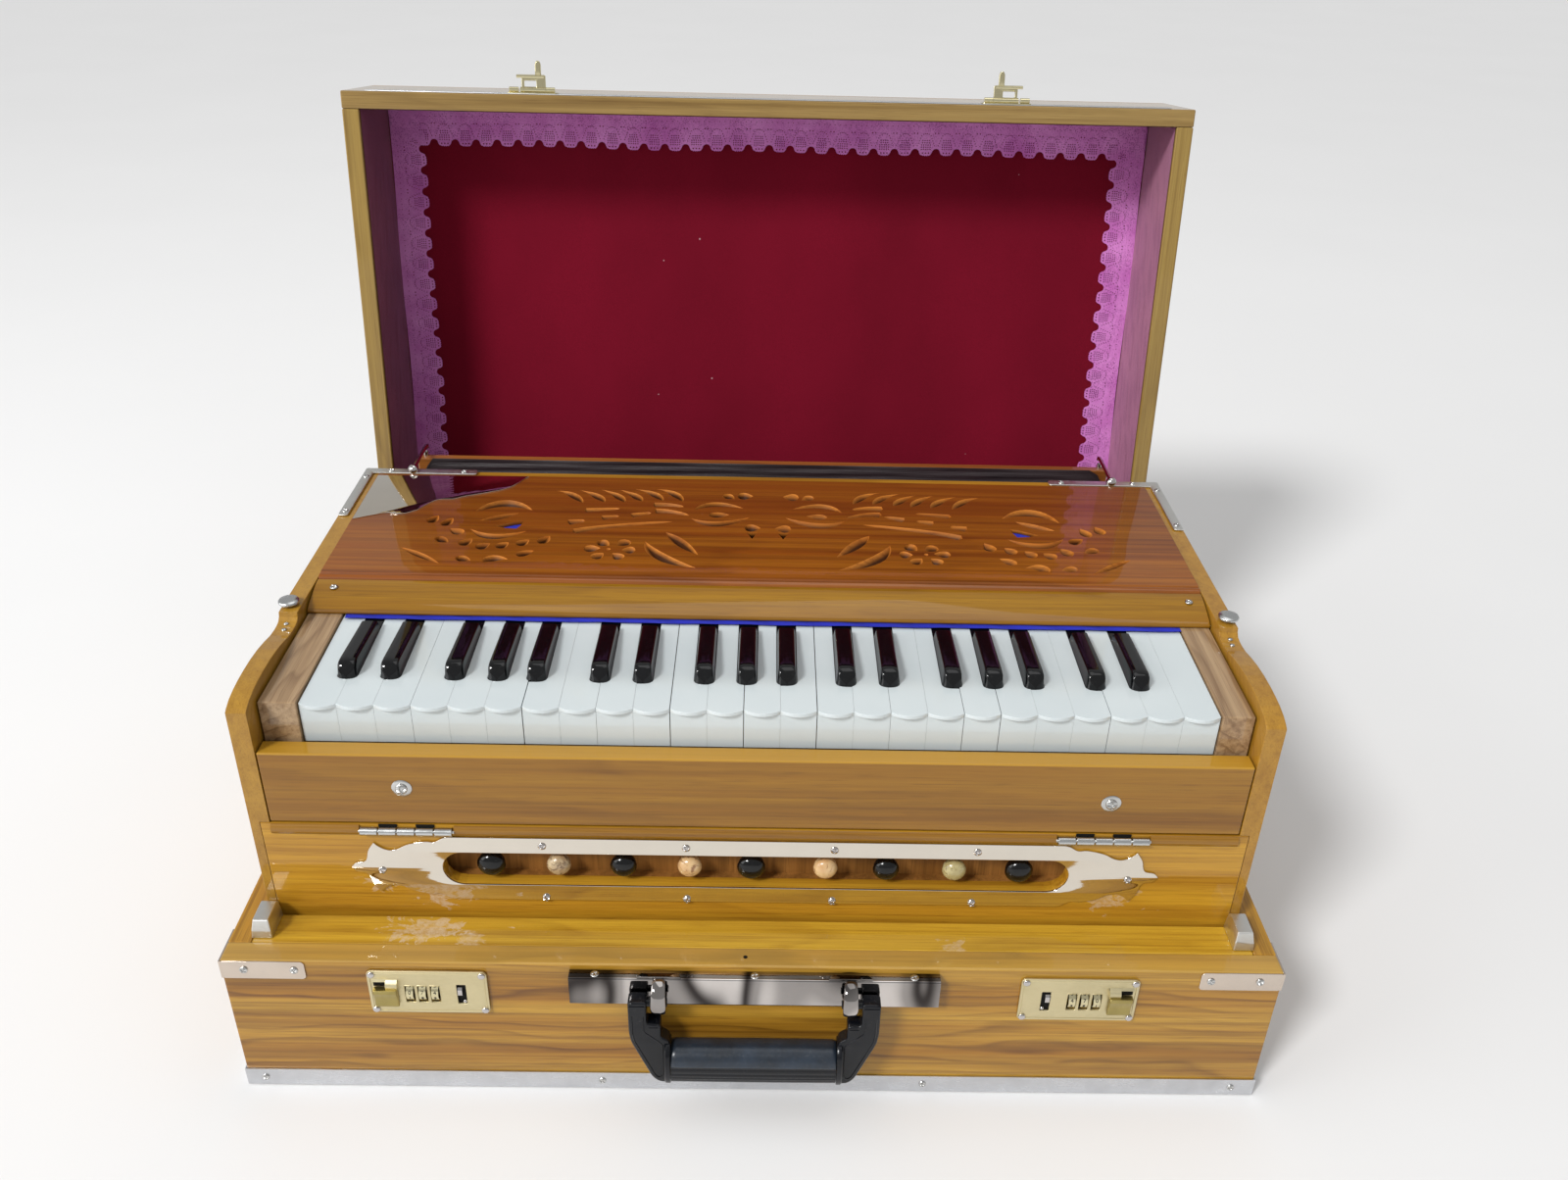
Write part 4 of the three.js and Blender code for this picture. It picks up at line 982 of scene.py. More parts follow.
# hasps on the lid: a leaf screwed to the front board, and the swinging frame with its prong
for side, s in (("left", -1), ("right", 1)):
    x = s * 177.7
    g = Geo()
    g.add(front(g_plate(rrect(x - 18.5, x + 18.5, 110.6, 121.6, 2.2, 5), (), 0.8, 0.25), -1.05))
    for a in (x - 17, x + 10):
        g.add(g_tube([(a, -3.2, 113.4), (a + 7, -3.2, 113.4)], 2.0, 16))
        g.add(g_box(a + 0.4, a + 6.6, -3.6, -0.8, 114.4, 115.4))
    put("hasp_leaf_" + side, g, BRASS_POL, "lid", lid=True, bevel=0.15, sharp=40)
    screws("hasp_leaf_screws_" + side, [(x - 13.4, -1.45, 118.4), (x + 13.4, -1.45, 118.4)], 2.4, 1.3, BRASS_POL, "lid", "front", lid=True)
    g = Geo()
    q = lambda d: x - s * d  # d runs towards the prong's side
    out = fillet([(q(-7.6), -3.4), (q(-7.6), -11.6), (q(-5.6), -13.6), (q(10.3), -13.6), (q(10.3), -3.4)], [0.6, 1.2, 1.2, 1.0, 0.6], 4)
    hole = fillet([(q(-5.6), -5.4), (q(-5.6), -9.6), (q(3.4), -9.6), (q(3.4), -5.4)], 0.7, 3)
    if s > 0:
        out, hole = out[::-1], hole[::-1]
    g.add(flat(g_plate(out, [hole[::-1]], 1.7, 0.5, 3), 113.4))
    g.add(g_tube([(q(-8.6), -3.2, 113.4), (q(10.4), -3.2, 113.4)], 2.0, 16))
    # folded roof along the free edge, and the prong
    g.add(g_prism("x", fillet([(-11.4, 111.2), (-13.4, 111.0), (-13.9, 112.6), (-13.6, 114.4), (-12.0, 114.3), (-12.0, 112.8)], 0.4, 3), min(q(-11), q(9.4)), max(q(-11), q(9.4))))
    prong = fillet([(q(2.8), -12.6), (q(2.8), -21.2), (q(3.8), -23.6), (q(6.2), -23.6), (q(7.2), -21.2), (q(7.2), -12.6)], [0.2, 1, 1.2, 1.2, 1, 0.2], 4)
    if s > 0:
        prong = prong[::-1]
    g.add(flat(g_plate(prong, (), 2.2, 0.7, 3), 113.2))
    put("hasp_frame_" + side, g, BRASS_POL, "lid_hasp_" + side, "brass", lid=True, rep="lid_hasp_" + side, sharp=40)

# ------------------------------------------------------------------ instrument: body
for side, mat in (("left", TEAK_CHEEK_L), ("right", TEAK_CHEEK_R)):
    o = dress("cheek_" + side, mat, 1.0, 3, 35)
dress("stop_panel", TEAK_STOP, 0.35, 2, 45)
board("rear_board_teak", "instrument", -291.3, 291.3, 339.5, 351, 97, 265.2, TEAK_REAR, slot="teak", rep="rear_board")
dress("wind_chest", TEAK_IN)
dress("reed_board", RAW)
dress("key_bed", RAW)
# bead that hides the joint under the flap
bead = [(42.2, 171.0), (41.0, 171.2), (40.1, 172.4), (39.9, 174.4), (40.1, 176.6), (41.0, 178.0), (42.2, 178.4)]
for nm, a, b in (("bead_middle", -182, 180.6), ("bead_left", -291, -238.4), ("bead_right", 237.4, 291)):
    put(nm, g_prism("x", bead, a, b), TEAK_FLAP, "instrument", "teak", sharp=60)

# polished plate round the stop slot
half = [(186.5, 24.6), (190, 23.6), (195, 20.6), (201, 20.9), (211, 18.4), (218, 14.6), (223.5, 14), (228.6, 16.6), (231.4, 19.6), (235.4, 13.2), (237.8, 5.2), (244, 3.4), (247, 0)]


def smooth_pts(pts, sharp_at, n=4):
    """Catmull-Rom through the points, straight at the ones listed."""
    out = []
    for i in range(len(pts) - 1):
        p0 = Vector(pts[i - 1] if i > 0 and i not in sharp_at else pts[i])
        p1, p2 = Vector(pts[i]), Vector(pts[i + 1])
        p3 = Vector(pts[i + 2] if i + 2 < len(pts) and (i + 1) not in sharp_at else pts[i + 1])
        for j in range(n):
            t = j / n
            out.append(tuple(0.5 * ((2 * p1) + (p2 - p0) * t + (2 * p0 - 5 * p1 + 4 * p2 - p3) * t * t + (3 * p1 - p0 - 3 * p2 + p3) * t ** 3)))
    out.append(tuple(pts[-1]))
    return out


up = smooth_pts(half, {0, 8, 12})
right = [(x, 145.5 - z) for x, z in up] + [(x, 145.5 + z) for x, z in up[::-1][1:]]
plate = right + [(-x, z) for x, z in right[::-1]]
slot_loop = []
for i in range(17):
    a = -math.pi / 2 + math.pi * i / 16
    slot_loop.append((191.6 - 12.7 + 12.7 * math.cos(a), 145.5 + 12.7 * math.sin(a)))
slot_loop += [(-x, 291 - z) for x, z in slot_loop]
put("slot_plate", front(g_plate(plate, [slot_loop[::-1]], 1.0, 0.25, 2), -0.0 + 41.2), MIRROR, "instrument", "mirror_plate", rep="stop_plate", sharp=30)
screws("slot_plate_screws", [(x, 40.75, 164.4) for x in (-130, -43, 47, 134)] + [(x, 40.75, 122.8) for x in (-130, -43, 47, 134)] + [(-228.5, 40.75, 143.6), (228.5, 40.75, 143.6)], 2.5, 1.5, CHROME, "instrument", "front")

# stops: turned knobs, domed with a ring behind the rim
kinds = [KNOB_BLACK, BONE, KNOB_BLACK, IVORY, KNOB_BLACK, IVORY, KNOB_BLACK, OLIVE, KNOB_BLACK]
slots = ["knob_black", "knob_bone", "knob_black", "knob_ivory", "knob_black", "knob_ivory", "knob_black", "knob_bone", "knob_black"]
stop_x = [-163, -121.6, -82, -41.3, -3.5, 42.2, 79.6, 121.8, 161.8]
for i, x in enumerate(stop_x):
    k = 1.17 if i in (0, 4, 8) else (1.0 if i % 2 else 1.09)
    prof = [(0, 41.0), (1.6, 41.05), (3.1, 41.3), (4.5, 41.8), (5.7, 42.6), (6.6, 43.6), (7.2, 44.7), (7.5, 45.8), (7.3, 46.5), (6.9, 46.9), (6.6, 47.2), (6.7, 47.6), (6.9, 48.3), (6.6, 49.1), (5.8, 49.8), (4.6, 50.4), (3.9, 51.2), (3.5, 52.4), (3.45, 53.6), (3.1, 54.2), (3.1, 78), (0, 78)]
    put("stop_%d" % (i + 1), g_lathe([(r * k if j < 17 else r, y) for j, (r, y) in enumerate(prof)], 40, "y", (x, 0, 145.5)), kinds[i], "stop_knob_%d" % (i + 1), slots[i], rep="stop_knob_%d" % (i + 1), sharp=50)

# flap with its two small hinges, screws and washers
board("flap_board", "front_flap", -291.0, 291.0, 42, 54.5, 179.6, 230.3, TEAK_FLAP, 1.0, slot="teak", rep="front_flap")
screws("flap_screws", [(-209.6, 42.0, 206.5), (210, 42.0, 202.5)], 3.6, 2.0, STEEL, "front_flap", "front", washer=6.0)
for side, a, b in (("left", -238, -182.4), ("right", 181, 237)):
    fixed, moving = Geo(), Geo()
    n = 5
    w = (b - a) / n
    for j in range(n):
        t = moving if j % 2 else fixed
        t.add(g_tube([(a + j * w + 0.45, 40.2, 174.8), (a + (j + 1) * w - 0.45, 40.2, 174.8)], 2.75, 16))
    fixed.add(g_tube([(a - 0.8, 40.2, 174.8), (b + 0.8, 40.2, 174.8)], 1.1, 10))
    # painted shade: dark patches above the second and fourth knuckles stand in for the shadowed gaps there
    for j in (1, 3):
        fixed.add(g_box(a + j * w, a + (j + 1) * w, 41.4, 41.9, 177.0, 179.2), 1)
    put("flap_hinge_fixed_" + side, fixed, [SATIN_CHROME, PAINTED_SHADE], "instrument", bevel=0.2, sharp=40)
    put("flap_hinge_moving_" + side, moving, SATIN_CHROME, "front_flap", bevel=0.2, sharp=40)

# key blocks, rail, felt
board("block_left", "instrument", -290.6, -268.4, 56.5, 188, 215.4, 256.2, TEAK_BLOCK, 0.8, slot="dark_teak", rep="key_block_left")
board("block_right", "instrument", 271.5, 290.6, 56.5, 188, 215.4, 256.2, TEAK_BLOCK, 0.8, slot="dark_teak", rep="key_block_right")
rail = [(154.6, 256.6), (182.8, 256.6), (182.8, 265.9), (180.6, 265.8), (178.6, 265.6), (175.8, 265.2), (173, 264.6), (170, 263.9), (166, 262.8), (162, 261.6), (158, 260.2), (156.4, 259.4), (155.2, 258.6), (154.6, 257.8)]
put("rail", g_prism("x", rail, -290.8, 290.8), TEAK_RAIL, "instrument", "teak", bevel=0.4, rep="key_rail", sharp=50)
screws("rail_screws", [(-278, 173.7, 264.9), (280.4, 173.1, 264.8)], 2.6, 1.4, STEEL, "instrument")


def strip_sheet(name, x0, x1, y0, y1, z, mat, body, sag=0.15):
    nx, ny = 120, 6
    v = [(x0 + (x1 - x0) * i / nx, y0 + (y1 - y0) * j / ny + 0.25 * math.sin(i * 0.37) * (j == 0), z + sag * math.sin(i * 0.9 + j)) for j in range(ny + 1) for i in range(nx + 1)]
    f = [(j * (nx + 1) + i, j * (nx + 1) + i + 1, (j + 1) * (nx + 1) + i + 1, (j + 1) * (nx + 1) + i) for j in range(ny) for i in range(nx)]
    o = put(name, (v, f), mat, body, orient=False)
    return o


strip_sheet("key_felt", -266, 271.2, 150.6, 164, 256.0, FELT, "instrument")

# ------------------------------------------------------------------ carved cover
carved = [
    ("c", [(-153.2, 315.3), (-142.3, 310.3), (-131.4, 296.3)], 5.7), ("c", [(-136.3, 316.8), (-124.8, 309.7), (-115.7, 298.2)], 5.7),
    ("c", [(-120.2, 318.3), (-109.2, 310.4), (-101.2, 298.7)], 5.6), ("c", [(-106.9, 318.9), (-96.3, 310.9), (-88.6, 300.5)], 5.7),
    ("c", [(-95.3, 320.2), (-82.7, 314.0), (-73.5, 301.9)], 5.8), ("c", [(-79.5, 320.8), (-68.0, 315.4), (-58.8, 301.7)], 5.8),
    ("b", [(-129.4, 284.3), (-116.6, 286.4), (-103.8, 288.1)], 5.6), ("b", [(-115.5, 273.0), (-109.6, 274.8), (-103.3, 276.3)], 6.0),
    ("b", [(-94.8, 277.4), (-88.1, 280.0), (-80.7, 282.3)], 6.0), ("b", [(-80.6, 294.7), (-69.4, 295.5), (-57.9, 292.8)], 6.6),
    ("b", [(-78.9, 285.1), (-66.8, 284.8), (-53.3, 279.0)], 6.6), ("b", [(-138.5, 265.2), (-132.5, 267.0), (-126.7, 268.3)], 7.2),
    ("b", [(-133.6, 250.9), (-110.1, 259.8), (-64.5, 269.2)], 6.6),
    ("l", [(-207.2, 277.3), (-188.4, 292.8), (-166.2, 282.9)], 9.4), ("l", [(-201.3, 265.5), (-187.7, 271.2), (-175.3, 278.2)], 5.5),
    ("l", [(-205.3, 253.1), (-187.5, 242.0), (-165.6, 250.9)], 6.4),
    ("d", [(-235.6, 260.7), (-231.3, 272.4)], 8.0), ("d", [(-225.0, 256.5), (-220.3, 269.0)], 8.0), ("d", [(-208.5, 245.9), (-219.0, 253.0)], 8.4),
    ("d", [(-226.5, 239.3), (-216.3, 232.4)], 7.6), ("d", [(-207.2, 228.4), (-200.7, 238.4)], 8.6), ("d", [(-195.6, 224.5), (-187.3, 231.6)], 8.8),
    ("d", [(-181.8, 225.7), (-174.9, 233.9)], 8.4), ("d", [(-168.5, 229.8), (-161.5, 238.4)], 8.4), ("d", [(-153.6, 232.9), (-148.1, 244.4)], 8.4),
    ("d", [(-207.0, 211.4), (-196.0, 207.6)], 7.4), ("l", [(-187.3, 205.2), (-182.3, 210.6), (-171.6, 210.2)], 7.6), ("d", [(-166.8, 215.3), (-156.0, 222.7)], 7.6),
    ("l", [(-246.4, 224.1), (-231.6, 214.0), (-216.2, 202.8)], 4.6),
    ("p", [(-122.8, 226.8), (-111.2, 228.0)], 8.2), ("p", [(-114.1, 238.4), (-105.6, 231.8)], 8.0), ("p", [(-92.4, 239.9), (-100.0, 232.0)], 8.4),
    ("p", [(-86.9, 226.0), (-96.4, 226.0)], 8.4), ("p", [(-94.9, 213.3), (-102.2, 221.0)], 7.6), ("p", [(-115.2, 213.3), (-108.4, 221.2)], 7.6),
    ("l", [(-81.5, 238.8), (-69.7, 217.6), (-44.7, 202.7)], 8.4), ("l", [(-68.0, 252.7), (-57.7, 238.4), (-44.1, 221.1)], 7.8),
    ("l", [(-50.2, 287.4), (-35.8, 297.4), (-14.7, 292.1)], 6.0), ("d", [(-39.4, 280.2), (-24.5, 281.2)], 7.6), ("l", [(-51.3, 274.4), (-32.6, 266.8), (-9.4, 278.0)], 6.6),
    ("d", [(-29.6, 313.7), (-21.4, 307.0)], 7.6), ("d", [(-19.4, 311.4), (-7.6, 312.0)], 11.0), ("d", [(-13.2, 261.0), (-1.6, 261.4)], 10.6),
]
TOP = 267.8
MID = 3.5  # the ornament's line of symmetry


def chip(kind, pts, width, mirror):
    """A V-shaped chip cut: a closed body to take out of the cover."""
    P = [Vector((2 * MID - x if mirror else x, y)) for x, y in pts]
    if len(P) == 2:
        P = [P[0], (P[0] + P[1]) / 2, P[1]]
    c = 2 * P[1] - (P[0] + P[2]) / 2  # control point of the curve through the middle one
    n = 14 if kind in "lcb" else 10
    L = (P[2] - P[0]).length
    width *= 1.1 if kind == "d" else 1.22
    depth = min(0.66 * width, 4.6)
    lefts, rights, keel = [], [], []
    for i in range(n + 1):
        t = i / n
        p = P[0] * (1 - t) ** 2 + c * 2 * t * (1 - t) + P[2] * t * t
        d = ((c - P[0]) * (1 - t) + (P[2] - c) * t).normalized()
        nrm = Vector((-d.y, d.x))
        if kind == "l":
            w = math.sin(math.pi * t) ** 0.8
        elif kind == "c":
            w = math.sin(math.pi * t ** 1.7) ** 0.8
        elif kind == "b":
            w = min(1.0, (t / 0.06) ** 0.5) * (1 - 0.55 * t) * min(1.0, ((1 - t) / 0.1) ** 0.5)
        else:
            w = math.sin(math.pi * t ** 0.72) ** 0.75
        w = max(w, 0.02)
        zt = TOP + 0.6
        lefts.append((*(p + nrm * (w * width / 2 + 0.35)), zt))
        rights.append((*(p - nrm * (w * width / 2 + 0.35)), zt))
        off = 0.18 if kind in "lc" else (0.26 if kind == "d" else 0.0)
        keel.append((*(p + nrm * off * w * width), TOP - max(depth * w, 0.05)))
    v = lefts + rights + keel
    m = n + 1
    f = []
    for i in range(n):
        f += [(i, i + 1, 2 * m + i + 1, 2 * m + i), (m + i, 2 * m + i, 2 * m + i + 1, m + i + 1), (i, m + i, m + i + 1, i + 1)]
    f += [(0, 2 * m, m), (n, m + n, 2 * m + n)]
    return v, f


g = Geo()
for kind, pts, width in carved:
    for mirror in (False, True):
        g.add(chip(kind, pts, width, mirror))
# five-petal flowers have a small round eye, and four cuts go right through to the blue cloth behind
for x0 in (-105.6, 2 * MID + 105.6):
    g.add(g_lathe([(0, TOP - 1.4), (1.0, TOP - 1.0), (1.9, TOP + 0.6), (0, TOP + 0.6)], 14, "z", (x0, 226.6, 0)))
for tri in ([(-188.6, 257.8), (-181.0, 255.2), (-173.0, 254.4), (-170.4, 261.0), (-169.6, 266.4), (-176.4, 264.4)], [(-11.2, 254.6), (-7.4, 245.2), (-3.6, 254.9)]):
    g.add(g_prism("z", tri, TOP - 14, TOP + 1))
    g.add(g_prism("z", [(2 * MID - x, y) for x, y in tri[::-1]], TOP - 14, TOP + 1))
for x0, x1, y0, y1 in ((-190.5, -168, 252.4, 268), (2 * MID + 168, 2 * MID + 190.5, 252.4, 268)):
    g.add(g_box(x0, x1, y0, y1, TOP - 14, TOP - 2.5))
cutter = put("cover_cutter", g, [TEAK_CUT], "instrument", ride=False)
cover_prof = [(183.2, 257.8), (339.2, 257.8), (339.2, TOP), (190.6, TOP), (189.4, TOP - 0.15), (188.8, TOP - 0.9), (188.2, TOP - 0.5), (187.0, TOP - 0.2), (185.6, TOP - 0.5), (184.4, TOP - 1.3), (183.6, TOP - 2.2), (183.2, TOP - 3.4)]
cover = put("cover_carved", g_prism("x", cover_prof, -290.8, 290.8), TEAK_COVER, "instrument", ride=False, sharp=40)
m = cover.modifiers.new("carve", "BOOLEAN")
m.operation = "DIFFERENCE"
m.object = cutter
m.solver = "EXACT"
m.material_mode = "TRANSFER"
m.use_self = True
dg = bpy.context.evaluated_depsgraph_get()
me = bpy.data.meshes.new_from_object(cover.evaluated_get(dg))
old = cover.data
cover.modifiers.clear()
cover.data = me
cover.data.set_sharp_from_angle(angle=math.radians(28))
bpy.data.objects.remove(cutter)
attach(cover, "instrument")
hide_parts("top_cover")
print("cover", len(me.polygons), [x.name for x in me.materials])
strip_sheet("cover_cloth_left", -190, -168.5, 252.8, 267.6, TOP - 2.75, FELT, "instrument", 0.05)
strip_sheet("cover_cloth_right", 2 * MID + 168.5, 2 * MID + 190, 252.8, 267.6, TOP - 2.75, FELT, "instrument", 0.05)

# bright hand plate let in at the left rear corner of the cover
hand = [(-287, 326), (-175.6, 329), (-178, 325.5), (-187, 310), (-200, 301.5), (-216, 294.4), (-224, 289.3), (-236, 287), (-246, 271), (-255, 264.8), (-266, 266), (-275, 262.5), (-288.6, 256)]
hand = [(1.0096 * x, -580.63 + 1.0096 * (y + 580.63)) for x, y in hand]
hand = [(max(x, -290.2), y) for x, y in hand]
hp = smooth_pts(hand[1:] + [], {0, 5, 7, 11}, 4)
hp = [(-290.2, hand[0][1] + 0.5)] + hp
put("hand_plate", flat(g_plate(hp[::-1], (), 0.7, 0.15, 1), TOP + 0.38), MIRROR, "instrument", sharp=30)

# corner braces with their screws, cap discs and nails
for side, s in (("left", -1), ("right", 1)):
    o = fillet([(303.0, 272.2), (303.0, 350.5), (218.2, 350.5), (218.2, 342.8), (296.0, 342.8), (296.0, 272.2)], [2.6, 1.5, 2.6, 2.6, 0.6, 2.6], 5)
    put("brace_" + side, flat(g_plate([(s * x, y) for x, y in (o if s > 0 else o[::-1])], (), 1.3, 0.4, 2), 266.45), BRIGHT, "instrument", "chrome", rep="corner_brace_" + side, sharp=35)
    screws("brace_screws_" + side, [(s * x, y, 267.0) for x, y in ((228, 346.6), (283, 346.6), (299.5, 336), (299.5, 279))], 2.2, 1.2, STEEL, "instrument")
for side, s in (("left", -1), ("right", 1)):
    g = Geo()
    g.add(g_lathe([(0, 262.0), (2.2, 262.0), (2.2, 266.6), (5.6, 266.8), (6.5, 267.4), (6.6, 268.4), (6.0, 269.2), (3.0, 269.6), (0, 269.7)], 32, "z", (s * 299.5, 150.5, 0)))
    put("cap_disc_" + side, g, SATIN_CHROME, "instrument", sharp=50)
    screws("cheek_nails_" + side, [(s * 297, 129, 259.7), (s * 297.6, 135.6, 260.0)], 1.6, 1.3, STEEL, "instrument", cross=False)

# ------------------------------------------------------------------ bellows
board("pump_board", "bellows_board", -272, 272, 380.5, 388, 125, 262, TEAK_PUMP, 1.2, slot="teak", rep="bellows_board")
rings = []
folds = 8
steps = folds * 8
for k in range(steps + 1):
    t = k / steps
    y = 351.4 + (380.2 - 351.4) * t
    ph = (t * folds) % 1.0
    inset = 5.0 * (1 - abs(2 * ph - 1) ** 1.2) if 0 < k < steps else 0.0
    inset = 0.3 + inset
    loop = rrect(-265 + inset, 265 - inset, 129 + inset, 262.6 - inset, 5, 4)
    dense = []
    for i in range(len(loop)):
        a, b = loop[i], loop[(i + 1) % len(loop)]
        m_ = max(1, int(math.hypot(b[0] - a[0], b[1] - a[1]) / 14))
        for j in range(m_):
            u = j / m_
            wx, wz = a[0] + (b[0] - a[0]) * u, a[1] + (b[1] - a[1]) * u
            dense.append((wx, wz))
    ring = []
    for (wx, wz) in dense:
        q = 0.35 * math.sin(wx * 0.05 + k * 0.6) + 0.25 * math.sin(wz * 0.11 + k)
        ring.append((wx, y + q * (0 < k < steps), wz))
    rings.append(ring)
n = min(len(r) for r in rings)
if any(len(r) != n for r in rings):
    # every ring is sampled alike: take n points at equal shares of the loop
    def even(ring, n):
        L = [0]
        for i in range(len(ring)):
            a, b = Vector(ring[i]), Vector(ring[(i + 1) % len(ring)])
            L.append(L[-1] + (b - a).length)
        out = []
        for k in range(n):
            d = L[-1] * k / n
            i = max(j for j in range(len(ring)) if L[j] <= d + 1e-9)
            a, b = Vector(ring[i]), Vector(ring[(i + 1) % len(ring)])
            out.append(tuple(a.lerp(b, (d - L[i]) / max(L[i + 1] - L[i], 1e-9))))
        return out
    rings = [even(r, 140) for r in rings]
bel = put("bellows_pleats", g_loft(rings, caps=False), CLOTH, "instrument", "bellows_cloth", ride=False, sharp=75, rep="bellows_folds")
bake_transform(bel)
area = sum(p.area for p in bel.data.polygons)
# chrome hooks that reach over the pleats, and their posts on the pump board
for side, s in (("left", -1), ("right", 1)):
    x = s * 266
    g = Geo()
    path = [(x, 345.5, 269.2), (x, 352, 269.2), (x, 362, 269.2), (x, 372, 269.3), (x, 382, 269.2), (x, 388.6, 269.0), (x, 390.4, 268.2), (x, 390.8, 266.6)]
    g.add(g_tube(path, 1.45, 14))
    g.add(g_lathe([(0, 267.1), (3.2, 267.1), (3.9, 268.2), (4.0, 269.4), (3.4, 271.0), (2.0, 272.4), (0, 272.9)], 28, "z", (x, 345.5, 0)))
    put("hook_" + side, g, CHROME, "bellows_hook_" + side, "chrome", rep="bellows_hook_" + side, sharp=50)
    put("hook_post_" + side, g_lathe([(0, 258), (1.9, 258), (1.9, 265.6), (0, 265.6)], 16, "z", (x, 385.5, 0)), STEEL, "bellows_board", sharp=50)

# ------------------------------------------------------------------ keys
PITCH, X0 = 21.54, -267.7
sharp_x = [-247.1, -221.4, -183.2, -157.4, -134.0, -96.2, -70.4, -33.5, -7.9, 16.2, 51.9, 78.1, 116, 140.9, 165.7, 202.9, 229.6]
banks = ["octave_1", "octave_2", "octave_3", "top"]
NOTCH = (84.2, 84.35, 84.6, 85.0, 85.6, 86.4, 87.4, 88.7)


def foot(y):
    """Half width of a sharp's foot at y: its front is rounded in plan."""
    t = max(0.0, min(1.0, (88.7 - y) / 4.5))
    return 6.0 * max(0.0, 1 - t ** 2.3) ** 0.5


gaps = {6: 0.5, 10: 0.46, 12: 0.42, 14: 0.45, 18: 0.3, 19: 0.36, 22: 0.3, 3: 0.14, 8: 0.12, 16: 0.14}
for i in range(25):
    bank = banks[min(i // 7, 3)]
    gl = 0.5 * gaps.get(i, 0.03) + 0.01
    gr = 0.5 * gaps.get(i + 1, 0.03) + 0.01
    x0, x1 = X0 + i * PITCH + gl, X0 + (i + 1) * PITCH - gr
    dz = rnd.uniform(-0.06, 0.03)
    ins = [b for b in sharp_x if x0 - 7 < b < x1 + 7]
    lx = max([b + 6.9 for b in ins if b - 6.9 < x0 + 0.5 and b + 6.9 > x0], default=None)
    rx = min([b - 6.9 for b in ins if b + 6.9 > x1 - 0.5 and b - 6.9 < x1], default=None)
    arc = []
    n = 14
    for k in range(n + 1):
        t = -1 + 2 * k / n
        arc.append(((x0 + x1) / 2 + t * (x1 - x0) / 2, 54.9 + 3.6 * t * t))
    outline = list(arc)
    if rx is not None:
        b = rx + 6.9
        cut = [(b - foot(y) - 0.3, y) for y in NOTCH]
        cut = [p for p in cut if p[0] < x1]
        outline += [(x1, cut[0][1] - 0.02)] + cut + [(cut[-1][0], 170)]
    else:
        outline += [(x1, 170)]
    if lx is not None:
        b = lx - 6.9
        cut = [(b + foot(y) + 0.3, y) for y in NOTCH]
        cut = [p for p in cut if p[0] > x0]
        outline += [(cut[-1][0], 170)] + cut[::-1] + [(x0, cut[0][1] - 0.02)]
    else:
        outline += [(x0, 170)]
    g = Geo()
    g.add(g_prism("z", outline, 252.2 + dz, 254.5 + dz), 0)
    g.add(g_box(x0, x1, 58.5, 61.0, 227.5, 252.15 + dz), 0)
    a, b = (lx or x0) + 0.5, (rx or x1) - 0.5
    g.add(g_box(a, b, 90, 184, 241, 252.1 + dz), 1)
    g.add(g_box(x0 + 0.5, x1 - 0.5, 61.05, 83.6, 241, 252.1 + dz), 1)
    put("white_key_%02d" % (i + 1), g, [ACRYLIC, RAW], "white_keys_" + bank, "key_white", bevel=0.09, seg=2, angle=40, sharp=40, rep="white_keys_" + bank if i in (0, 7, 14, 21) else ())

for i, x in enumerate(sharp_x):
    bank = banks[min(i // 5, 3)]
    rings = []
    # (y, half width at the foot, half width at the top, height of the top)
    sta = [(84.22, 1.2, 255.1), (84.35, 2.2, 255.6), (84.6, 3.2, 256.4), (85.0, 4.2, 257.5), (85.6, 5.0, 258.9), (86.4, 5.6, 260.4), (87.4, 5.95, 261.7), (88.4, 6.0, 262.7), (89.6, 6.0, 263.4), (91.2, 6.0, 263.75), (94.0, 6.0, 263.7), (97.0, 6.0, 263.5), (110, 6.0, 262.5), (126, 6.0, 261.3), (141.0, 6.0, 260.2)]
    sta = [(y, max(foot(y), 0.6) if y < 88.7 else 6.0, max(min(foot(y) - 1.3, 4.7), 0.35) if y < 88.7 else 4.65, zt) for y, _, zt in sta]
    for y, wb, wt, zt in sta:
        half = [(wb, 249.6), (wb, 254.9), (wb - 0.25, 255.3), (wt + 0.45, zt - 1.1), (wt + 0.1, zt - 0.45), (wt - 0.6, zt - 0.06), (wt * 0.4, zt)]
        pts = [(x + a, b) for a, b in half] + [(x - a, b) for a, b in half[::-1]]
        rings.append([(px, y, pz) for px, pz in pts])
    g = Geo().add(g_loft(rings), 0)
    g.add(g_box(x - 5.9, x + 5.9, 140.5, 166, 249.7, 254.9), 0)
    g.add(g_box(x - 5.4, x + 5.4, 88.5, 184, 237, 249.5), 1)
    put("black_key_%02d" % (i + 1), g, [SHARP, RAW], "black_keys_" + bank, "key_black", sharp=60, bevel=0.0, rep="black_keys_" + bank if i in (0, 5, 10, 15) else ())

# ------------------------------------------------------------------ floor, light, camera
def grey(name, value, rough):
    m = Mat(name, Roughness=rough)
    P = m.coord()
    n = m.noise(P, 3.0, 3.0, 0.5)
    m.set("Base Color", m.mix(m.ramp(n, [(0.3, 0.0), (0.7, 1.0)]), (value, value, value, 1), (value * 1.015, value * 1.015, value * 1.015, 1)))
    return m.m


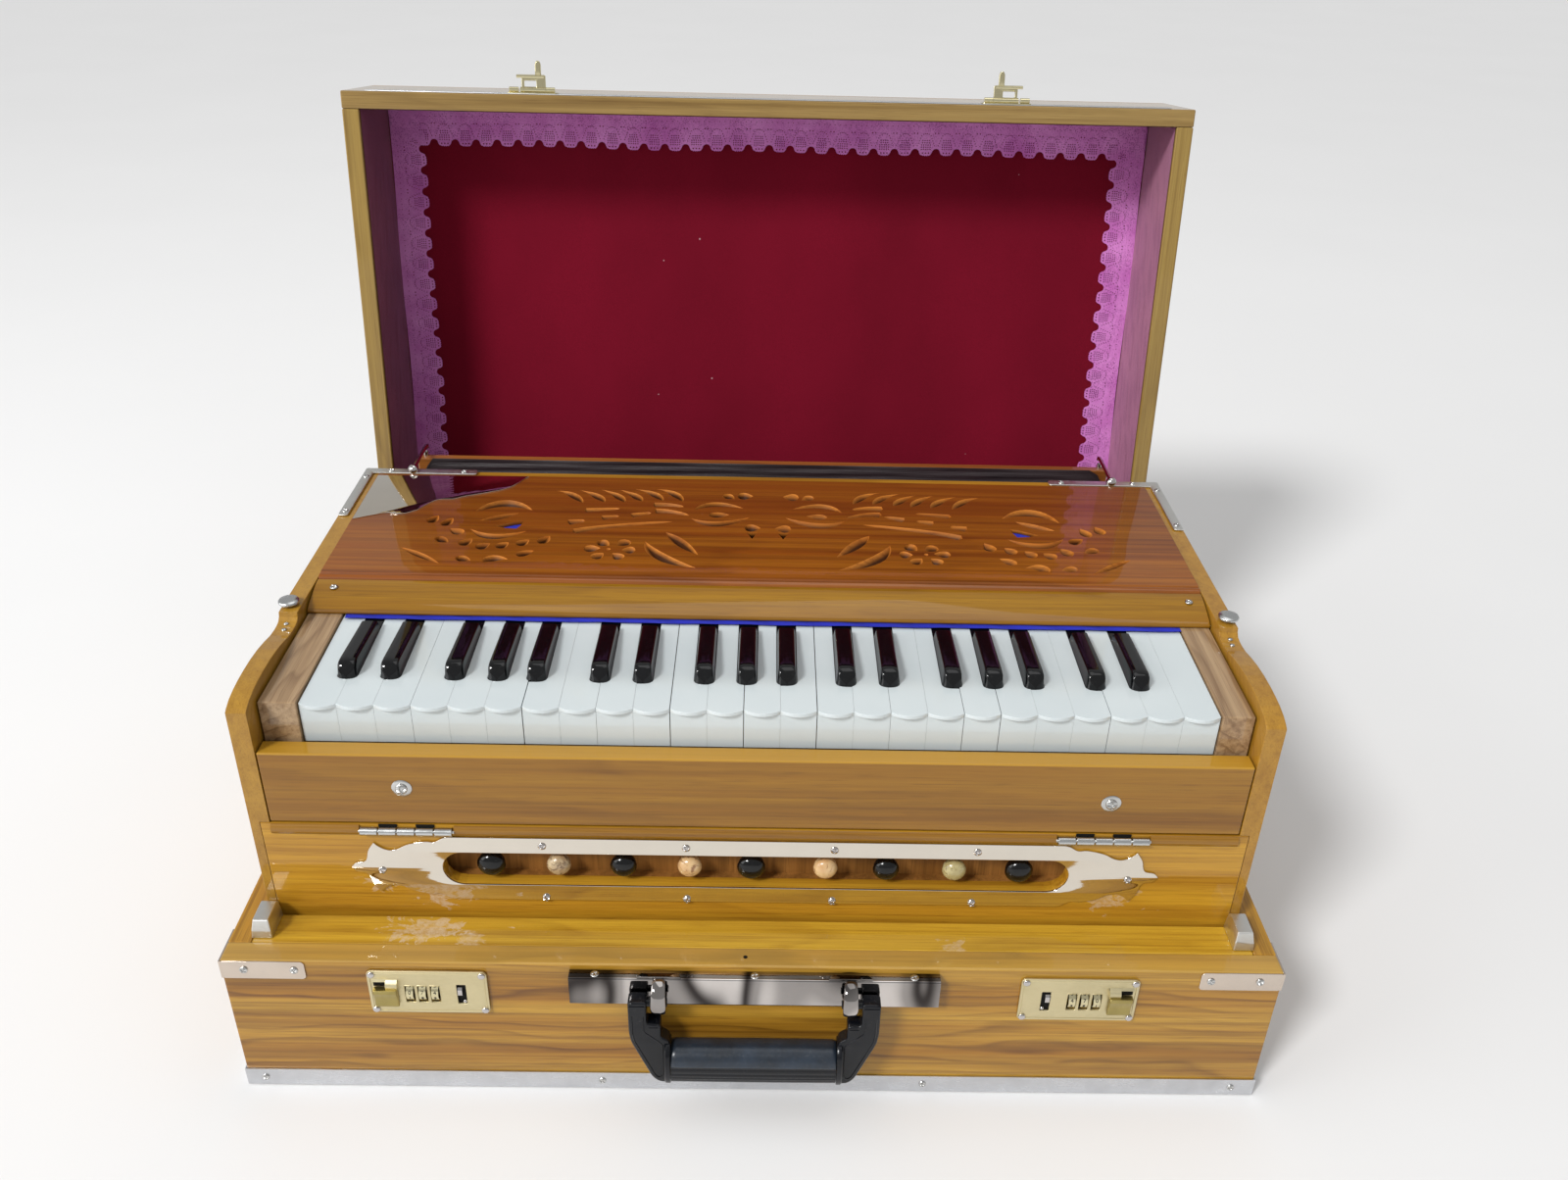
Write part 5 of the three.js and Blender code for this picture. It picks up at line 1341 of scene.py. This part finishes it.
me = bpy.data.meshes.new("floor")
me.from_pydata([(-14, -10, 0), (14, -10, 0), (14, 16, 0), (-14, 16, 0)], [], [(0, 1, 2, 3)])
me.materials.append(grey("floor_pale", 0.8, 0.7))
floor = bpy.data.objects.new("floor", me)
floor.location = (0, 0, -0.0005)
scene.collection.objects.link(floor)

world = bpy.data.worlds.new("studio")
scene.world = world
world.use_nodes = True
wt = world.node_tree
bg = wt.nodes["Background"]
bg.inputs[0].default_value = (1.0, 1.0, 1.0, 1)
bg.inputs[1].default_value = 0.45


def area(name, at, to, size, power, colour=(1, 1, 1)):
    d = bpy.data.lights.new(name, "AREA")
    d.shape = "RECTANGLE"
    d.size, d.size_y = size
    d.energy = power
    d.color = colour
    o = bpy.data.objects.new(name, d)
    o.location = at
    o.rotation_euler = (Vector(to) - Vector(at)).to_track_quat("-Z", "Y").to_euler()
    scene.collection.objects.link(o)
    return o


sun = bpy.data.lights.new("key_light", "SUN")
sun.energy = 2.15
sun.angle = math.radians(12)
so = bpy.data.objects.new("key_light", sun)
so.rotation_euler = Vector((0.50, 0.55, -0.67)).to_track_quat("-Z", "Y").to_euler()
scene.collection.objects.link(so)
area("top_fill", (0.2, 0.2, 2.6), (0, 0.1, 0.2), (2.0, 1.4), 10)
area("left_fill", (-2.4, -0.7, 1.2), (0.1, 0.1, 0.3), (2.0, 1.6), 26)

cam = bpy.data.cameras.new("camera")
cam.sensor_width = 36.0
cam.sensor_fit = "HORIZONTAL"
cam.lens = 30.763
co = bpy.data.objects.new("camera", cam)
pit, yaw, rol = (math.radians(a) for a in (30.31, 1.05, -1.5))
fwd = Vector((math.sin(yaw) * math.cos(pit), math.cos(yaw) * math.cos(pit), -math.sin(pit)))
rgt = Vector((math.cos(yaw), -math.sin(yaw), 0))
dwn = fwd.cross(rgt)
r2 = rgt * math.cos(rol) + dwn * math.sin(rol)
d2 = -rgt * math.sin(rol) + dwn * math.cos(rol)
co.matrix_world = Matrix(((r2.x, -d2.x, -fwd.x, 0.00076), (r2.y, -d2.y, -fwd.y, -0.78713), (r2.z, -d2.z, -fwd.z, 0.70975), (0, 0, 0, 1)))
scene.collection.objects.link(co)
scene.camera = co
scene.view_settings.view_transform = "Standard"

bpy.context.view_layer.update()
